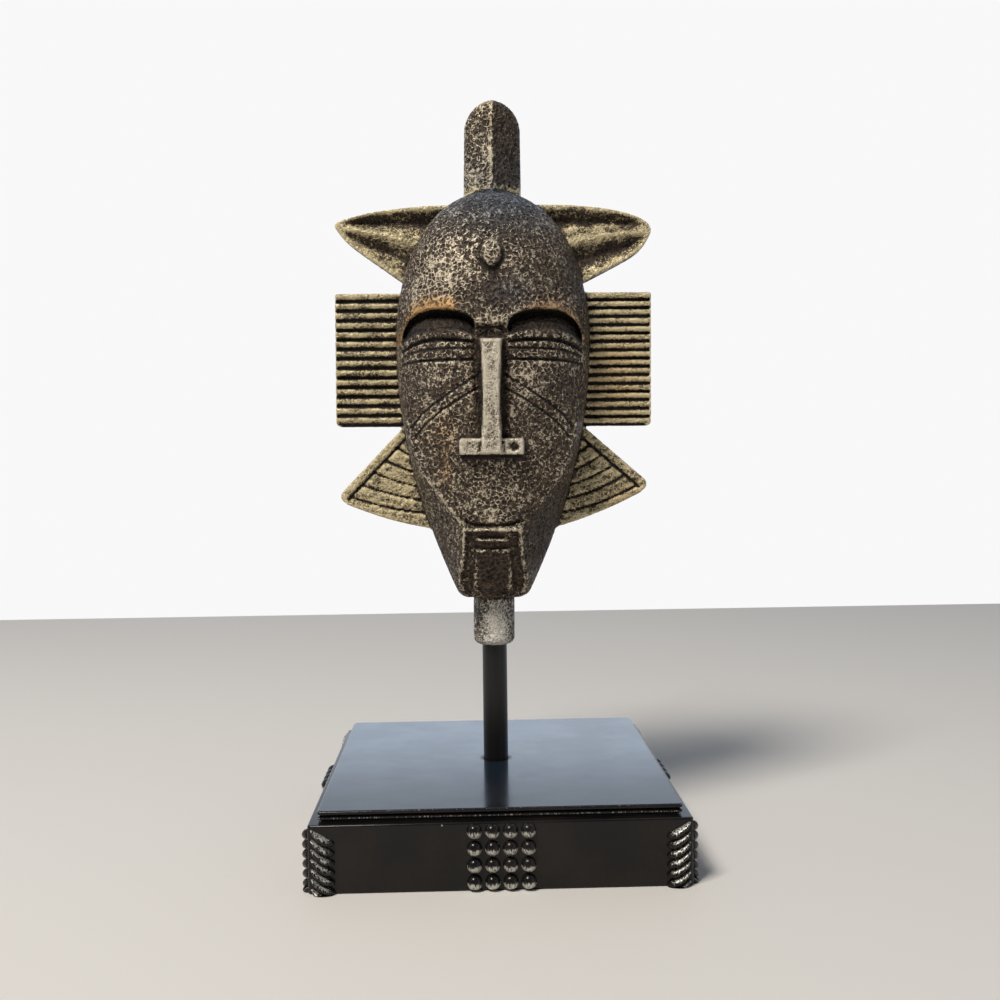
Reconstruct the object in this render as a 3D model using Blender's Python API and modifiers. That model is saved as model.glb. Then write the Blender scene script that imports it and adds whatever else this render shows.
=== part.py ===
"""A cast metal mask on a rod and a square black base.

Metres, +Z up. The origin is the centre of the base's underside, the mask looks along -Y, and the
mask, its rod and the base share the Z axis. The mask is one casting: head, crest, wings, combs, fans and
the collar under the chin. The rod stands in a socket in the base and in a socket up the collar.
"""

import math

import bmesh
import bpy
from mathutils import Matrix, Vector

MM = 0.001
CLEARANCE = 0.3 * MM  # between pieces that fit together
WELD = 0.006 * MM  # joins corners that the booleans leave all but in one place
ROUND_SIDES = 24  # of the turned forms

# Base: a block with a moulded plate on top
BODY_SIDE = 152 * MM
BODY_HEIGHT = 27.3 * MM
BODY_CORNER = 1.6 * MM
BODY_EDGE = 0.8 * MM
PLATE_SIDE = 145.2 * MM
PLATE_HEIGHT = 4.5 * MM
PLATE_CORNER = 1.5 * MM
PLATE_GROOVE = 1.3 * MM
# The plate's moulding from its foot up: share of its height, and inset as a share of the groove
MOULDING = ((0.1, 1.0), (0.27, 0.1), (0.42, 0.1), (0.53, 1.0), (0.67, 0.1), (0.87, 0.0), (1.0, 0.5))

# Bead panels in the middle of the four sides
BEAD_ROWS = 4
BEAD_COLUMNS = 4
BEAD_DIAMETER = 6.2 * MM
BEAD_STAND = 2.9 * MM
BEAD_PITCH = 7.1 * MM
BEAD_EDGE_GAP = 0.4 * MM

# Plaited corners: strands that fall away on both sides of each corner
STRAND_COUNT = 7
STRAND_REACH = 9.6 * MM
STRAND_DROP = 5.2 * MM
STRAND_THICK = 3.7 * MM
STRAND_STAND = 2.8 * MM
STRAND_SINK = 1.2 * MM  # how deep the strands' ends lie behind the other side at the corner
STRAND_LIFT = 0.3 * MM  # keeps the plait off whatever the base stands on

# Rod and its sockets
ROD_DIAMETER = 11.2 * MM
ROD_SHOWN = 53.2 * MM
ROD_CHAMFER = 0.8 * MM
BASE_SOCKET_DEPTH = 20.0 * MM
SOCKET_MOUTH_WIDER = 1.8 * MM
SOCKET_MOUTH_DEPTH = 1.8 * MM
COLLAR_SOCKET_DEPTH = 34.0 * MM

# Collar, cast with the mask
COLLAR_DIAMETER = 18.7 * MM
COLLAR_LENGTH = 22.6 * MM
COLLAR_ROUND = 3.0 * MM
COLLAR_ROOT = 8.0 * MM

# Head: an egg cut flat at the chin
HEAD_HEIGHT = 181.5 * MM
HEAD_WIDTH = 86.8 * MM
HEAD_FRONT = 34.0 * MM
HEAD_BACK = 12.0 * MM
MOUTH_FRONT = 29.5 * MM
CHIN_FRONT = 15.0 * MM
CHIN_ROUND = 2.0 * MM
HEAD_RINGS = 29
HEAD_SEGMENTS = 28
HEAD_FRONT_STEPS = 10  # of the segments, to each side of the face's middle
LEAST_HALF = 0.01 * MM  # the half width that the shape functions reckon with at the poles
MASK_TURN = math.radians(-2.5)  # the mask is fixed a little askew on its rod
MASK_LEAN = math.radians(0.45)

# Carving on the head
SOCKET_RECESS = 7.5 * MM
LID_GAP = 3.2 * MM
LID_RIM_DEPTH = 3.4 * MM
BAND_GAP = 0.5 * MM  # least height between two of the eye's bands, where they meet at its ends
FADE_OUT = 0.5 * MM  # how far a cutter that runs out stands off the face at its edge
CUT_MARGIN = 2.0 * MM  # how far a cutter or a joined form reaches past the surface it meets
NOSE_WIDTH = 9.8 * MM
NOSE_STAND = 5.0 * MM
NOSE_LEAN = 1.5 * MM
NOSE_BED = 3.2 * MM
BED_OVERLAP = 2.0 * MM  # how far the nose's hollow runs into the eyes
NOSTRIL_WIDTH = 27.8 * MM
NOSTRIL_STAND = 3.6 * MM
NOSTRIL_DROP = 0.3 * MM
BOSS_WIDTH = 8.6 * MM
BOSS_HEIGHT = 11.8 * MM
BOSS_STAND = 3.8 * MM
FRAME_STAND = 0.9 * MM
FRAME_INSET = 0.3 * MM
LIP_STAND = 1.9 * MM
CARVING_ROOT = 4.0 * MM  # how far a raised form is sunk into the head
LINE_WIDTH = 1.5 * MM
LINE_DEPTH = 1.0 * MM
MOUTH_LINE_WIDTH = 2.6 * MM
MOUTH_LINE_DEPTH = 2.0 * MM
MOUTH_LINE_RISE = 2.0 * MM
MOUTH_LINE_END = 1.0 * MM  # short of the jaw ridge

# Crest
CREST_HEIGHT = 40.2 * MM
CREST_WIDTH = 26.2 * MM
CREST_TOP_WIDTH = 25.0 * MM
CREST_RIDGE = 11.5 * MM
CREST_SIDE = 3.0 * MM
CREST_BACK = 6.5 * MM
CREST_ROOT = 16.0 * MM

# Side pieces: wings above, combs at the middle, fans below
SIDE_REACH = 71.8 * MM  # from the mask's middle to the tips and the combs' ends
SIDE_THICKNESS = 7.0 * MM
SIDE_ROOT = 8.0 * MM  # how far the side pieces reach into the head
SIDE_BACK = 6.5 * MM
WING_RELIEF = 4.2 * MM
COMB_HEIGHT = 60.4 * MM
COMB_GROOVE = 2.2 * MM
COMB_RIDGE_COUNTS = (14, 16)  # left, right
FAN_RIM = 4.4 * MM
FAN_TIP_ROUND = 4.0 * MM
FAN_BULGE = 1.8 * MM
FAN_GROOVES = 6
FAN_GROOVE_WIDTH = 1.9 * MM
FAN_GROOVE_DEPTH = 1.6 * MM
FAN_RIM_DEPTH = 2.0 * MM

# Heights, and the plane of the side pieces' rims
BASE_HEIGHT = BODY_HEIGHT + PLATE_HEIGHT
COLLAR_FOOT = BASE_HEIGHT + ROD_SHOWN
CHIN = COLLAR_FOOT + COLLAR_LENGTH
SIDE_FRONT = SIDE_BACK - SIDE_THICKNESS

# Proportions of the head: (share of its half width, share of its height above the chin)
WIDEST = 0.631
CHIN_SHARE = 0.36
MOUTH_TOP = 0.176
BROW_END = (0.91, 0.622)
BROW_APEX = (0.565, 0.693)
BROW_INNER = (0.165, 0.655)
NOSE_TOP = 0.622
NOSE_FOOT = 0.351
NOSTRIL_TOP = 0.3895
LIP_TOP = 0.124
UPPER_LIP = (0.143, 0.151)
BOSS_CENTRE = 0.8255
COMB_FOOT = 0.4226
WING_ROOT_TOP = (0.46, 0.9735)
WING_ROOT_FOOT = (0.86, 0.769)
FAN_TOP = (0.93, 0.425)
FAN_FOOT = (0.55, 0.161)
CHEEK_LINES = (((0.13, 0.540), (0.33, 0.510), (0.56, 0.474), (0.71, 0.446), (0.80, 0.415)),
               ((0.13, 0.509), (0.29, 0.487), (0.48, 0.459), (0.66, 0.425), (0.77, 0.392)))
# The two wings and fans were modelled by hand and differ: (left, right)
WING_TIP = (0.924, 0.906)
WING_CROWN = (1.7, 2.2)  # exponent of the upper edge's curve
WING_BELLY = (0.86, 0.72)  # share of the lower edge's rise that is straight; the rest is the round at the tip
FAN_TIP = (0.239, 0.271)
# The jaw ridge: height share, and its distance from the middle as a share of the half width there
JAW_RIDGE = ((0.0, 0.84), (0.04, 0.836), (0.112, 0.55), (0.18, 0.437), (0.231, 0.61), (0.305, 0.84),
             (0.40, 0.92), (0.50, 0.90), (0.62, 0.80), (1.0, 0.75))
# The closed eye's bands: height share, how far both ends droop (outer, inner) and how deep it lies, in mm
EYE_BANDS = ((0.568, 0.4, 0.0, -0.4), (0.5745, 1.2, 0.0, 2.0), (0.580, 1.5, 0.0, 0.5),
             (0.596, 2.3, 0.0, 0.3), (0.6005, 2.6, 0.0, 1.5), (0.605, 2.9, 0.2, 0.3),
             (0.6155, 3.8, 0.9, 0.3), (0.622, 4.4, 1.3, 3.2), (0.629, 4.4, 1.6, 0.5),
             (0.639, 4.2, 2.4, 0.3), (0.658, 6.0, 4.0, 1.6))
# The wing's section from its lower edge up: place, and depth as a share of the relief
WING_SECTION = ((0.0, 0.0), (0.05, 0.0), (0.27, 0.8), (0.51, -0.1), (0.79, 1.0), (0.95, 0.05), (1.0, 0.0))


def clear_scene():
    for obj in list(bpy.data.objects):
        bpy.data.objects.remove(obj)


def collection(name):
    made = bpy.data.collections.new(name)
    bpy.context.scene.collection.children.link(made)
    return made


def material(name, colour, roughness, metallic):
    made = bpy.data.materials.new(name)
    made.use_nodes = True
    shader = made.node_tree.nodes["Principled BSDF"]
    shader.inputs["Base Color"].default_value = (*colour, 1)
    shader.inputs["Roughness"].default_value = roughness
    shader.inputs["Metallic"].default_value = metallic
    return made


def object_from(bm, name, group, finish=None):
    """Turns a bmesh into an object in a collection."""
    bmesh.ops.recalc_face_normals(bm, faces=bm.faces[:])
    mesh = bpy.data.meshes.new(name)
    bm.to_mesh(mesh)
    bm.free()
    obj = bpy.data.objects.new(name, mesh)
    group.objects.link(obj)
    if finish:
        mesh.materials.append(finish)
    return obj


def as_guide(obj):
    """A cutter, or a form that a union takes in: never a part of its own."""
    obj.hide_render = True
    obj.display_type = "WIRE"
    return obj


def boolean(obj, operation, other, solver="EXACT"):
    """Cuts with, or joins in, one object or every object of a collection."""
    modifier = obj.modifiers.new(operation.title(), "BOOLEAN")
    modifier.operation = operation
    modifier.solver = solver
    if isinstance(other, bpy.types.Collection):
        modifier.operand_type = "COLLECTION"
        modifier.collection = other
    else:
        modifier.object = other
    return modifier


def mix(a, b, share):
    return a + (b - a) * share


def between(pairs, place):
    """Straight-line interpolation in a short list of (place, value)."""
    for (p0, v0), (p1, v1) in zip(pairs, pairs[1:]):
        if place <= p1:
            return mix(v0, v1, max(0.0, (place - p0) / (p1 - p0)))
    return pairs[-1][1]


def smooth(low, high, value):
    """0 below low, 1 above high, and a soft step in between."""
    share = min(1.0, max(0.0, (value - low) / (high - low)))
    return share * share * (3 - 2 * share)


def slab(name, columns, rows, front, back, group):
    """A closed slab: a grid whose front is carved by front(u, v), and whose back is back(u, v).

    Its bent faces are split into flat triangles, which keeps the booleans clean.
    """
    bm = bmesh.new()
    bmesh.ops.create_grid(bm, x_segments=columns, y_segments=rows, size=0.5)
    place = {vert: (vert.co.x + 0.5, vert.co.y + 0.5) for vert in bm.verts}
    made = bmesh.ops.extrude_face_region(bm, geom=bm.faces[:] + bm.edges[:], use_keep_orig=True)["geom"]
    rear = [item for item in made if isinstance(item, bmesh.types.BMVert)]
    for vert in rear:
        vert.co = back(vert.co.x + 0.5, vert.co.y + 0.5)
    for vert, (u, v) in place.items():
        vert.co = front(u, v)
    rear_edges = [edge for edge in bm.edges if edge.verts[0] not in place and edge.verts[1] not in place]
    bmesh.ops.dissolve_limit(bm, angle_limit=math.radians(1), verts=rear, edges=rear_edges)
    bmesh.ops.triangulate(bm, faces=[face for face in bm.faces if len(face.verts) == 4])
    return object_from(bm, name, group)


def blob(bm, segments, rings, place):
    """Adds a small rounded form: a sphere whose unit points are moved by place(point)."""
    made = bmesh.ops.create_uvsphere(bm, u_segments=segments, v_segments=rings, radius=1)
    for vert in made["verts"]:
        vert.co = place(vert.co.copy())
    return made["verts"]


def turned(name, profile, steps, group, finish=None):
    """A turned shape: a profile of (radius, height) from the top of its outer side down."""
    bm = bmesh.new()
    verts = [bm.verts.new((radius, 0, height)) for radius, height in profile]
    for first, second in zip(verts, verts[1:]):
        bm.edges.new((first, second))
    mesh = bpy.data.meshes.new(name)
    bm.to_mesh(mesh)
    bm.free()
    obj = bpy.data.objects.new(name, mesh)
    group.objects.link(obj)
    if finish:
        mesh.materials.append(finish)
    screw = obj.modifiers.new("Screw", "SCREW")
    screw.steps = screw.render_steps = steps
    screw.use_merge_vertices = True
    screw.merge_threshold = 0.00001
    screw.use_smooth_shade = True
    return obj


# The head's shape, as functions of x and of the height above the chin


def up(share):
    return share * HEAD_HEIGHT


def out(share):
    return share * HEAD_WIDTH / 2


def chin_inset(height):
    """The rounding of the chin's lower edge."""
    left = max(0.0, 1 - height / CHIN_ROUND)
    return CHIN_ROUND * (1 - math.sqrt(1 - left * left))


def head_half_width(height):
    """Half the head's width in the front view."""
    half = HEAD_WIDTH / 2
    share = min(1.0, max(0.0, height / HEAD_HEIGHT))
    if share >= WIDEST:
        above = (share - WIDEST) / (1 - WIDEST)
        return half * (1 - above**2.15) ** (1 / 2.15)
    below = (WIDEST - share) / WIDEST
    return half * (CHIN_SHARE + (1 - CHIN_SHARE) * (1 - below * below)) - chin_inset(height)


def head_middle_depth(height):
    """How far the head stands forward of its widest plane, on its middle line."""
    share = min(1.0, max(0.0, height / HEAD_HEIGHT))
    if share >= WIDEST:
        above = (share - WIDEST) / (1 - WIDEST)
        return HEAD_FRONT * (1 - above**2.4) ** (1 / 2.4)
    if share >= MOUTH_TOP:
        below = (WIDEST - share) / (WIDEST - MOUTH_TOP)
        return mix(HEAD_FRONT, MOUTH_FRONT, below**1.8)
    return mix(CHIN_FRONT, MOUTH_FRONT, share / MOUTH_TOP) - chin_inset(height)


def jaw_ridge(height):
    return head_half_width(height) * between(JAW_RIDGE, height / HEAD_HEIGHT)


def head_depth(x, height):
    """The front surface: a dome above, and below it a flat shield with bevelled sides."""
    half = max(head_half_width(height), LEAST_HALF)
    middle = head_middle_depth(height)
    share = height / HEAD_HEIGHT
    dome = middle * (1 - min(1.0, abs(x) / half) ** 2.3) ** (1 / 2.3)
    ridge = jaw_ridge(height)
    crown = mix(0.06, 0.26, smooth(0.15, 0.45, share))
    if abs(x) <= ridge:
        shield = middle * (1 - crown * (x / ridge) ** 2)
    else:
        shield = middle * (1 - crown) * (1 - min(1.0, (abs(x) - ridge) / (half - ridge))) ** 0.6
    return mix(shield, dome, smooth(0.36, 0.56, share))


def head_back(x, height):
    """The plain back, nearly flat with rounded sides."""
    half = max(head_half_width(height), LEAST_HALF)
    above = max(0.0, (height / HEAD_HEIGHT - WIDEST) / (1 - WIDEST))
    return HEAD_BACK * (1 - above**3) ** (1 / 3) * (1 - min(1.0, abs(x) / half) ** 3) ** (1 / 3)


def on_face(x, height, stand):
    """A point that stands out from the head's front."""
    return Vector((x, -head_depth(x, height) - stand, CHIN + height))


def on_plate(x, height, stand):
    """A point that stands out from the side pieces' front."""
    return Vector((x, SIDE_FRONT - stand, CHIN + height))


def ring_height(index):
    """Heights of the head's rings, from the crown down to the chin."""
    upper = round(HEAD_RINGS * WIDEST / 1.8)
    widest = up(WIDEST)
    if index <= upper:
        return widest + (HEAD_HEIGHT - widest) * math.cos(math.pi / 2 * index / upper)
    last = HEAD_RINGS - 1
    if index == last:
        return 0.0
    return mix(widest, CHIN_ROUND, (index - upper) / (last - 1 - upper))


def head_column(turn, height):
    """One column of a ring: in front it follows the jaw ridge, and behind it is the plain back."""
    half = head_half_width(height)
    ridge = jaw_ridge(height)
    on_ridge = round(HEAD_FRONT_STEPS * 0.6)
    step = abs(turn)
    if step > HEAD_FRONT_STEPS:
        rest = (step - HEAD_FRONT_STEPS) / (HEAD_SEGMENTS / 2 - HEAD_FRONT_STEPS)
        x = math.copysign(half * math.cos(rest * math.pi / 2), turn)
        return Vector((x, head_back(x, height), CHIN + height))
    if step <= on_ridge:
        x = ridge * step / on_ridge
    else:
        x = mix(ridge, half, math.sin((step - on_ridge) / (HEAD_FRONT_STEPS - on_ridge) * math.pi / 2))
    return on_face(math.copysign(x, turn), height, 0)


def head(group, finish):
    """The egg: a sphere whose rings and columns are put where the head needs them."""
    bm = bmesh.new()
    bmesh.ops.create_uvsphere(bm, u_segments=HEAD_SEGMENTS, v_segments=HEAD_RINGS, radius=1)
    for vert in bm.verts:
        ring = round(math.acos(max(-1.0, min(1.0, vert.co.z))) / math.pi * HEAD_RINGS)
        if ring in (0, HEAD_RINGS):
            vert.co = (0, 0, CHIN + (HEAD_HEIGHT if ring == 0 else 0))
        else:
            turn = round(math.atan2(vert.co.x, -vert.co.y) / (2 * math.pi) * HEAD_SEGMENTS)
            vert.co = head_column(turn, ring_height(ring))
    bmesh.ops.triangulate(bm, faces=bm.faces[:])
    made = object_from(bm, "mask", group, finish)
    made.data.shade_smooth()
    made.data.set_sharp_from_angle(angle=math.radians(35))
    return made


def brow_height(x):
    """Height of the brow's lower edge over an eye, as two arcs that meet at the apex."""
    end, apex, inner = [(out(share), up(level)) for share, level in (BROW_END, BROW_APEX, BROW_INNER)]
    side = end if x > apex[0] else inner
    away = min(1.0, abs(x - apex[0]) / abs(side[0] - apex[0]))
    return mix(apex[1], side[1], 1 - math.sqrt(1 - away**2.2))


def closed_eye(side, group):
    """Cutter for one eye: its floor is the lids and lines, and it runs deep into the brow's shadow."""
    inner, outer = out(BROW_INNER[0]), out(BROW_END[0])
    middle = out(BROW_APEX[0])
    rows = len(EYE_BANDS) + 1

    def floor(u, v):
        x = mix(inner, outer, u)
        away = (x - middle) / ((outer if x > middle else inner) - middle)
        rim = brow_height(x) - LID_GAP
        index = round(v * rows)
        if index < len(EYE_BANDS):
            share, droop_outer, droop_inner, sunk = EYE_BANDS[index]
            droop = (droop_outer if x > middle else droop_inner) * MM * away * away
            height = min(up(share) - droop, rim - (len(EYE_BANDS) - index) * BAND_GAP)
            depth = sunk * MM if u < 1 else -FADE_OUT
        elif index == len(EYE_BANDS):
            height, depth = rim, LID_RIM_DEPTH
        else:
            height, depth = brow_height(x), SOCKET_RECESS
        return Vector((side * x, -head_depth(x, height) + depth, CHIN + height))

    def outside(u, v):
        place = floor(u, v)
        return Vector((place.x, -HEAD_FRONT - NOSE_STAND, place.z))

    as_guide(slab(f"closed_eye_{side}", 10, rows, floor, outside, group))


def raised_bar(name, half_width, low, high, stand, rows, group, lean=0.0):
    """A flat-topped bar on the face between two heights; lean makes it stand out more at its foot."""

    def front(u, v):
        height = mix(low, high, v)
        place = on_face(0, height, stand + lean * (1 - v))
        return Vector(((2 * u - 1) * half_width(v), place.y, place.z))

    def back(u, v):
        place = front(u, v)
        return on_face(place.x, place.z - CHIN, -CARVING_ROOT)

    return as_guide(slab(name, 2, rows, front, back, group))


def nose_bed(group):
    """Cutter for the hollow that the nose stands in: a notch under the brow that fades down the cheeks."""
    low, high = up(NOSTRIL_TOP), up(BROW_INNER[1]) - BAND_GAP

    def bottom(u, v):
        height = mix(low, high, v)
        x = (2 * u - 1) * mix(NOSE_WIDTH, out(BROW_INNER[0]) + BED_OVERLAP, v)
        deep = NOSE_BED * mix(0.3, 1.0, v)
        return on_face(x, height, FADE_OUT if u in (0, 1) else -deep)

    def top(u, v):
        place = bottom(u, v)
        return Vector((place.x, place.y - NOSE_BED - CUT_MARGIN, place.z))

    return as_guide(slab("nose_bed", 4, 6, bottom, top, group))


def groove(name, route, width, depth, surface, group):
    """Cutter for a V-shaped line along a route of (x, height) on a surface."""
    last = len(route) - 1

    def bottom(u, v):
        index = round(u * last)
        before, after = Vector(route[max(0, index - 1)]), Vector(route[min(last, index + 1)])
        along = (after - before).normalized()
        across = Vector((-along.y, along.x)) * (v - 0.5) * 2 * width
        place = Vector(route[index]) + across
        return surface(place.x, place.y, depth * (-1 if abs(v - 0.5) < 0.1 else 1))

    def top(u, v):
        return bottom(u, v) + Vector((0, -1.5 * depth, 0))

    return as_guide(slab(name, last, 2, bottom, top, group))


def cheek_lines(side, group):
    for number, line in enumerate(CHEEK_LINES):
        route = [(side * out(share), up(level)) for share, level in line]
        groove(f"cheek_line_{side}_{number}", route, LINE_WIDTH / 2, LINE_DEPTH, on_face, group)


def mouth_line(group):
    """The dark line that parts the face shield from the mouth."""
    reach = jaw_ridge(up(MOUTH_TOP)) - MOUTH_LINE_END
    shares = (-1, -0.8, -0.4, 0.4, 0.8, 1)
    height = up(MOUTH_TOP) + MOUTH_LINE_WIDTH / 2
    route = [(share * reach, height + MOUTH_LINE_RISE * share**4) for share in shares]
    groove("mouth_line", route, MOUTH_LINE_WIDTH / 2, MOUTH_LINE_DEPTH, on_face, group)


def mouth(group):
    """The boxed mouth: a tapered frame with the lips standing in it."""
    top, foot = up(MOUTH_TOP), CHIN_ROUND * 1.8
    lip_top = up(LIP_TOP)
    low, high = (up(share) for share in UPPER_LIP)

    def frame_half(v):
        return jaw_ridge(mix(foot, top, v)) - FRAME_INSET

    raised_bar("mouth_frame", frame_half, foot, top, FRAME_STAND, 3, group)
    raised_bar("lower_lip", lambda v: out(mix(0.214, 0.164, v)), foot, lip_top, LIP_STAND, 2, group)
    raised_bar("upper_lip", lambda v: out(0.148), low, high, LIP_STAND, 1, group)


def nose(group):
    def half_width(v):
        """The bridge narrows below the brow and widens again at the foot."""
        return NOSE_WIDTH / 2 * (1 - 0.2 * math.sin(math.pi * v) ** 0.8)

    raised_bar("nose", half_width, up(NOSE_FOOT), up(NOSE_TOP), NOSE_STAND, 7, group, lean=NOSE_LEAN)
    half = NOSTRIL_WIDTH / 2
    low = up(NOSE_FOOT) - NOSTRIL_DROP
    raised_bar("nostrils", lambda v: half, low, up(NOSTRIL_TOP), NOSTRIL_STAND, 1, group)


def boss(group):
    """The small oval boss on the forehead."""
    bm = bmesh.new()
    centre = on_face(0, up(BOSS_CENTRE), 0)
    half = Vector((BOSS_WIDTH / 2, BOSS_STAND, BOSS_HEIGHT / 2))
    blob(bm, 10, 7, lambda point: centre + point * half)
    as_guide(object_from(bm, "boss", group))


def crest(group):
    """The upright post on the crown, with a ridge down its front and a round top."""
    foot = HEAD_HEIGHT - CREST_ROOT
    top = HEAD_HEIGHT + CREST_HEIGHT
    shoulder = top - CREST_TOP_WIDTH / 2
    straight = 0.4

    def row_height(v):
        if v <= straight:
            return mix(foot, shoulder, v / straight)
        return mix(shoulder, top, math.sin((v - straight) / (1 - straight) * math.pi / 2))

    def front(u, v):
        height = row_height(v)
        across = 2 * u - 1
        half = mix(CREST_WIDTH, CREST_TOP_WIDTH, (height - foot) / (shoulder - foot)) / 2
        round_off = 1.0
        if height > shoulder:
            round_off = math.sqrt(max(0.02, 1 - ((height - shoulder) / (top - shoulder)) ** 2))
            half = CREST_TOP_WIDTH / 2 * round_off
        fade = mix(1.0, 0.7, smooth(foot, top, height)) * round_off**0.5
        ridge = CREST_SIDE + (CREST_RIDGE - CREST_SIDE) * (1 - abs(across)) * fade
        return Vector((across * half, -ridge * round_off**0.3, CHIN + height))

    def back(u, v):
        place = front(u, v)
        return Vector((place.x, CREST_BACK, place.z))

    as_guide(slab("crest", 4, 10, front, back, group))


def wing(side, group):
    """A leaf that reaches out to a point: rims, two valleys and a middle ridge."""
    hand = 0 if side < 0 else 1
    root_top = Vector((out(WING_ROOT_TOP[0]), up(WING_ROOT_TOP[1])))
    root_foot = Vector((out(WING_ROOT_FOOT[0]), up(WING_ROOT_FOOT[1])))
    tip = Vector((SIDE_REACH, up(WING_TIP[hand])))
    crown, belly = WING_CROWN[hand], WING_BELLY[hand]
    columns, rows = 10, len(WING_SECTION) - 1

    def front(u, v):
        step = (u * columns - 1) / (columns - 1)
        run = 0.99 * (1 - (1 - max(0.0, step)) ** 1.7)
        high = mix(tip.y, root_top.y, (1 - run**crown) ** (1 / crown))
        low = mix(root_foot.y, tip.y, belly * run + (1 - belly) * run**10)
        place, level = WING_SECTION[round(v * rows)]
        x = mix(mix(root_foot.x, tip.x, run), mix(root_top.x, tip.x, run), place)
        x -= SIDE_ROOT if step < 0 else 0
        depth = WING_RELIEF * level * smooth(0, 0.3, 1 - run)
        return on_plate(side * x, mix(low, high, place), -depth)

    def back(u, v):
        place = front(u, v)
        return Vector((place.x, SIDE_BACK, place.z))

    as_guide(slab(f"wing_{side}", columns, rows, front, back, group))


def extruded(name, outline, move, group):
    """A prism: a flat outline of points, pushed out by a vector."""
    bm = bmesh.new()
    face = bm.faces.new([bm.verts.new(point) for point in outline])
    moved = bmesh.ops.extrude_face_region(bm, geom=[face, *face.edges], use_keep_orig=True)["geom"]
    bmesh.ops.translate(bm, verts=[item for item in moved if isinstance(item, bmesh.types.BMVert)], vec=move)
    return as_guide(object_from(bm, name, group))


def comb(side, ridges, group):
    """A flat block of level ridges: its toothed section is pushed out sideways."""
    foot, pitch = up(COMB_FOOT), COMB_HEIGHT / ridges
    section = [(SIDE_BACK, foot), (SIDE_BACK, foot + COMB_HEIGHT)]
    for index in reversed(range(ridges)):
        low = foot + index * pitch
        section += [(SIDE_FRONT, low + 0.88 * pitch), (SIDE_FRONT, low + 0.36 * pitch)]
        if index:
            section.append((SIDE_FRONT + COMB_GROOVE, low + 0.1 * pitch))
    section[-1] = (SIDE_FRONT, foot)
    inner = out(WING_ROOT_FOOT[0]) - SIDE_ROOT
    outline = [Vector((side * inner, y, CHIN + height)) for y, height in section]
    extruded(f"comb_{side}", outline, Vector((side * (SIDE_REACH - inner), 0, 0)), group)


def rounded(before, corner, after, radius, steps):
    """Points of a corner that is rounded by an arc-like curve."""
    start = corner + (before - corner).normalized() * radius
    end = corner + (after - corner).normalized() * radius
    turns = [index / steps for index in range(steps + 1)]
    return [start.lerp(corner, turn).lerp(corner.lerp(end, turn), turn) for turn in turns]


def fan(side, forms, lines):
    """A three-cornered fin with a rim outside and curved lines that run in to the jaw."""
    hand = 0 if side < 0 else 1
    top = Vector((out(FAN_TOP[0]), up(FAN_TOP[1])))
    foot = Vector((out(FAN_FOOT[0]), up(FAN_FOOT[1])))
    tip = Vector((SIDE_REACH + 0.2 * FAN_TIP_ROUND, up(FAN_TIP[hand])))
    slope = (tip - top).normalized()
    sink = Vector((SIDE_ROOT, 0))
    sag = Vector((0, -FAN_BULGE))
    lower = [tip.lerp(foot, share) + sag * math.sin(math.pi * share) for share in (0.3, 0.6, 0.85)]
    outline = [top - sink, top, *rounded(top, tip, lower[0], FAN_TIP_ROUND, 4), *lower, foot, foot - sink]
    corners = [Vector((side * point.x, SIDE_FRONT, CHIN + point.y)) for point in outline]
    fin = extruded(f"fan_{side}", corners, Vector((0, SIDE_THICKNESS, 0)), forms)
    boolean(fin, "DIFFERENCE", lines, "MANIFOLD")

    inward = Vector((slope.y, -slope.x)) * FAN_RIM
    rim_top, rim_foot = top + inward - slope * FAN_RIM, tip + inward - slope * FAN_RIM
    ends = (foot.x, mix(rim_top.y, foot.y, 0.25), mix(rim_top.y, foot.y, 0.84))

    def cut(number, depth, points):
        route = [(side * point.x, point.y) for point in points]
        groove(f"fan_line_{side}_{number}", route, FAN_GROOVE_WIDTH / 2, depth, on_plate, lines)

    cut("rim", FAN_RIM_DEPTH, [rim_top, rim_foot])
    for number in range(FAN_GROOVES):
        share = number / (FAN_GROOVES - 1)
        start = rim_top.lerp(rim_foot, mix(0.14, 0.97, share))
        end = Vector((ends[0], mix(ends[1], ends[2], share)))
        turns = (0, 0.3, 0.62, 1)
        bend = [mix(end.y, start.y, (1 - turn) ** 1.8) for turn in turns]
        points = [Vector((mix(start.x, end.x, turn), height)) for turn, height in zip(turns, bend)]
        cut(number, FAN_GROOVE_DEPTH, points)


def collar(group):
    radius = COLLAR_DIAMETER / 2
    steps = 3
    corner = [
        (radius - COLLAR_ROUND * (1 - math.cos(turn)), COLLAR_FOOT + COLLAR_ROUND * (1 - math.sin(turn)))
        for turn in (index * math.pi / 2 / steps for index in range(steps + 1))
    ]
    top = CHIN + COLLAR_ROOT
    profile = [(0, top), (radius, top), *corner, (0, COLLAR_FOOT)]
    made = as_guide(turned("collar", profile, ROUND_SIDES, group))
    made.rotation_euler.z = math.pi / ROUND_SIDES  # keeps its edges off the socket's and the chin's


def socket_cutter(name, profile, group):
    return as_guide(turned(name, profile, ROUND_SIDES, group))


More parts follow.
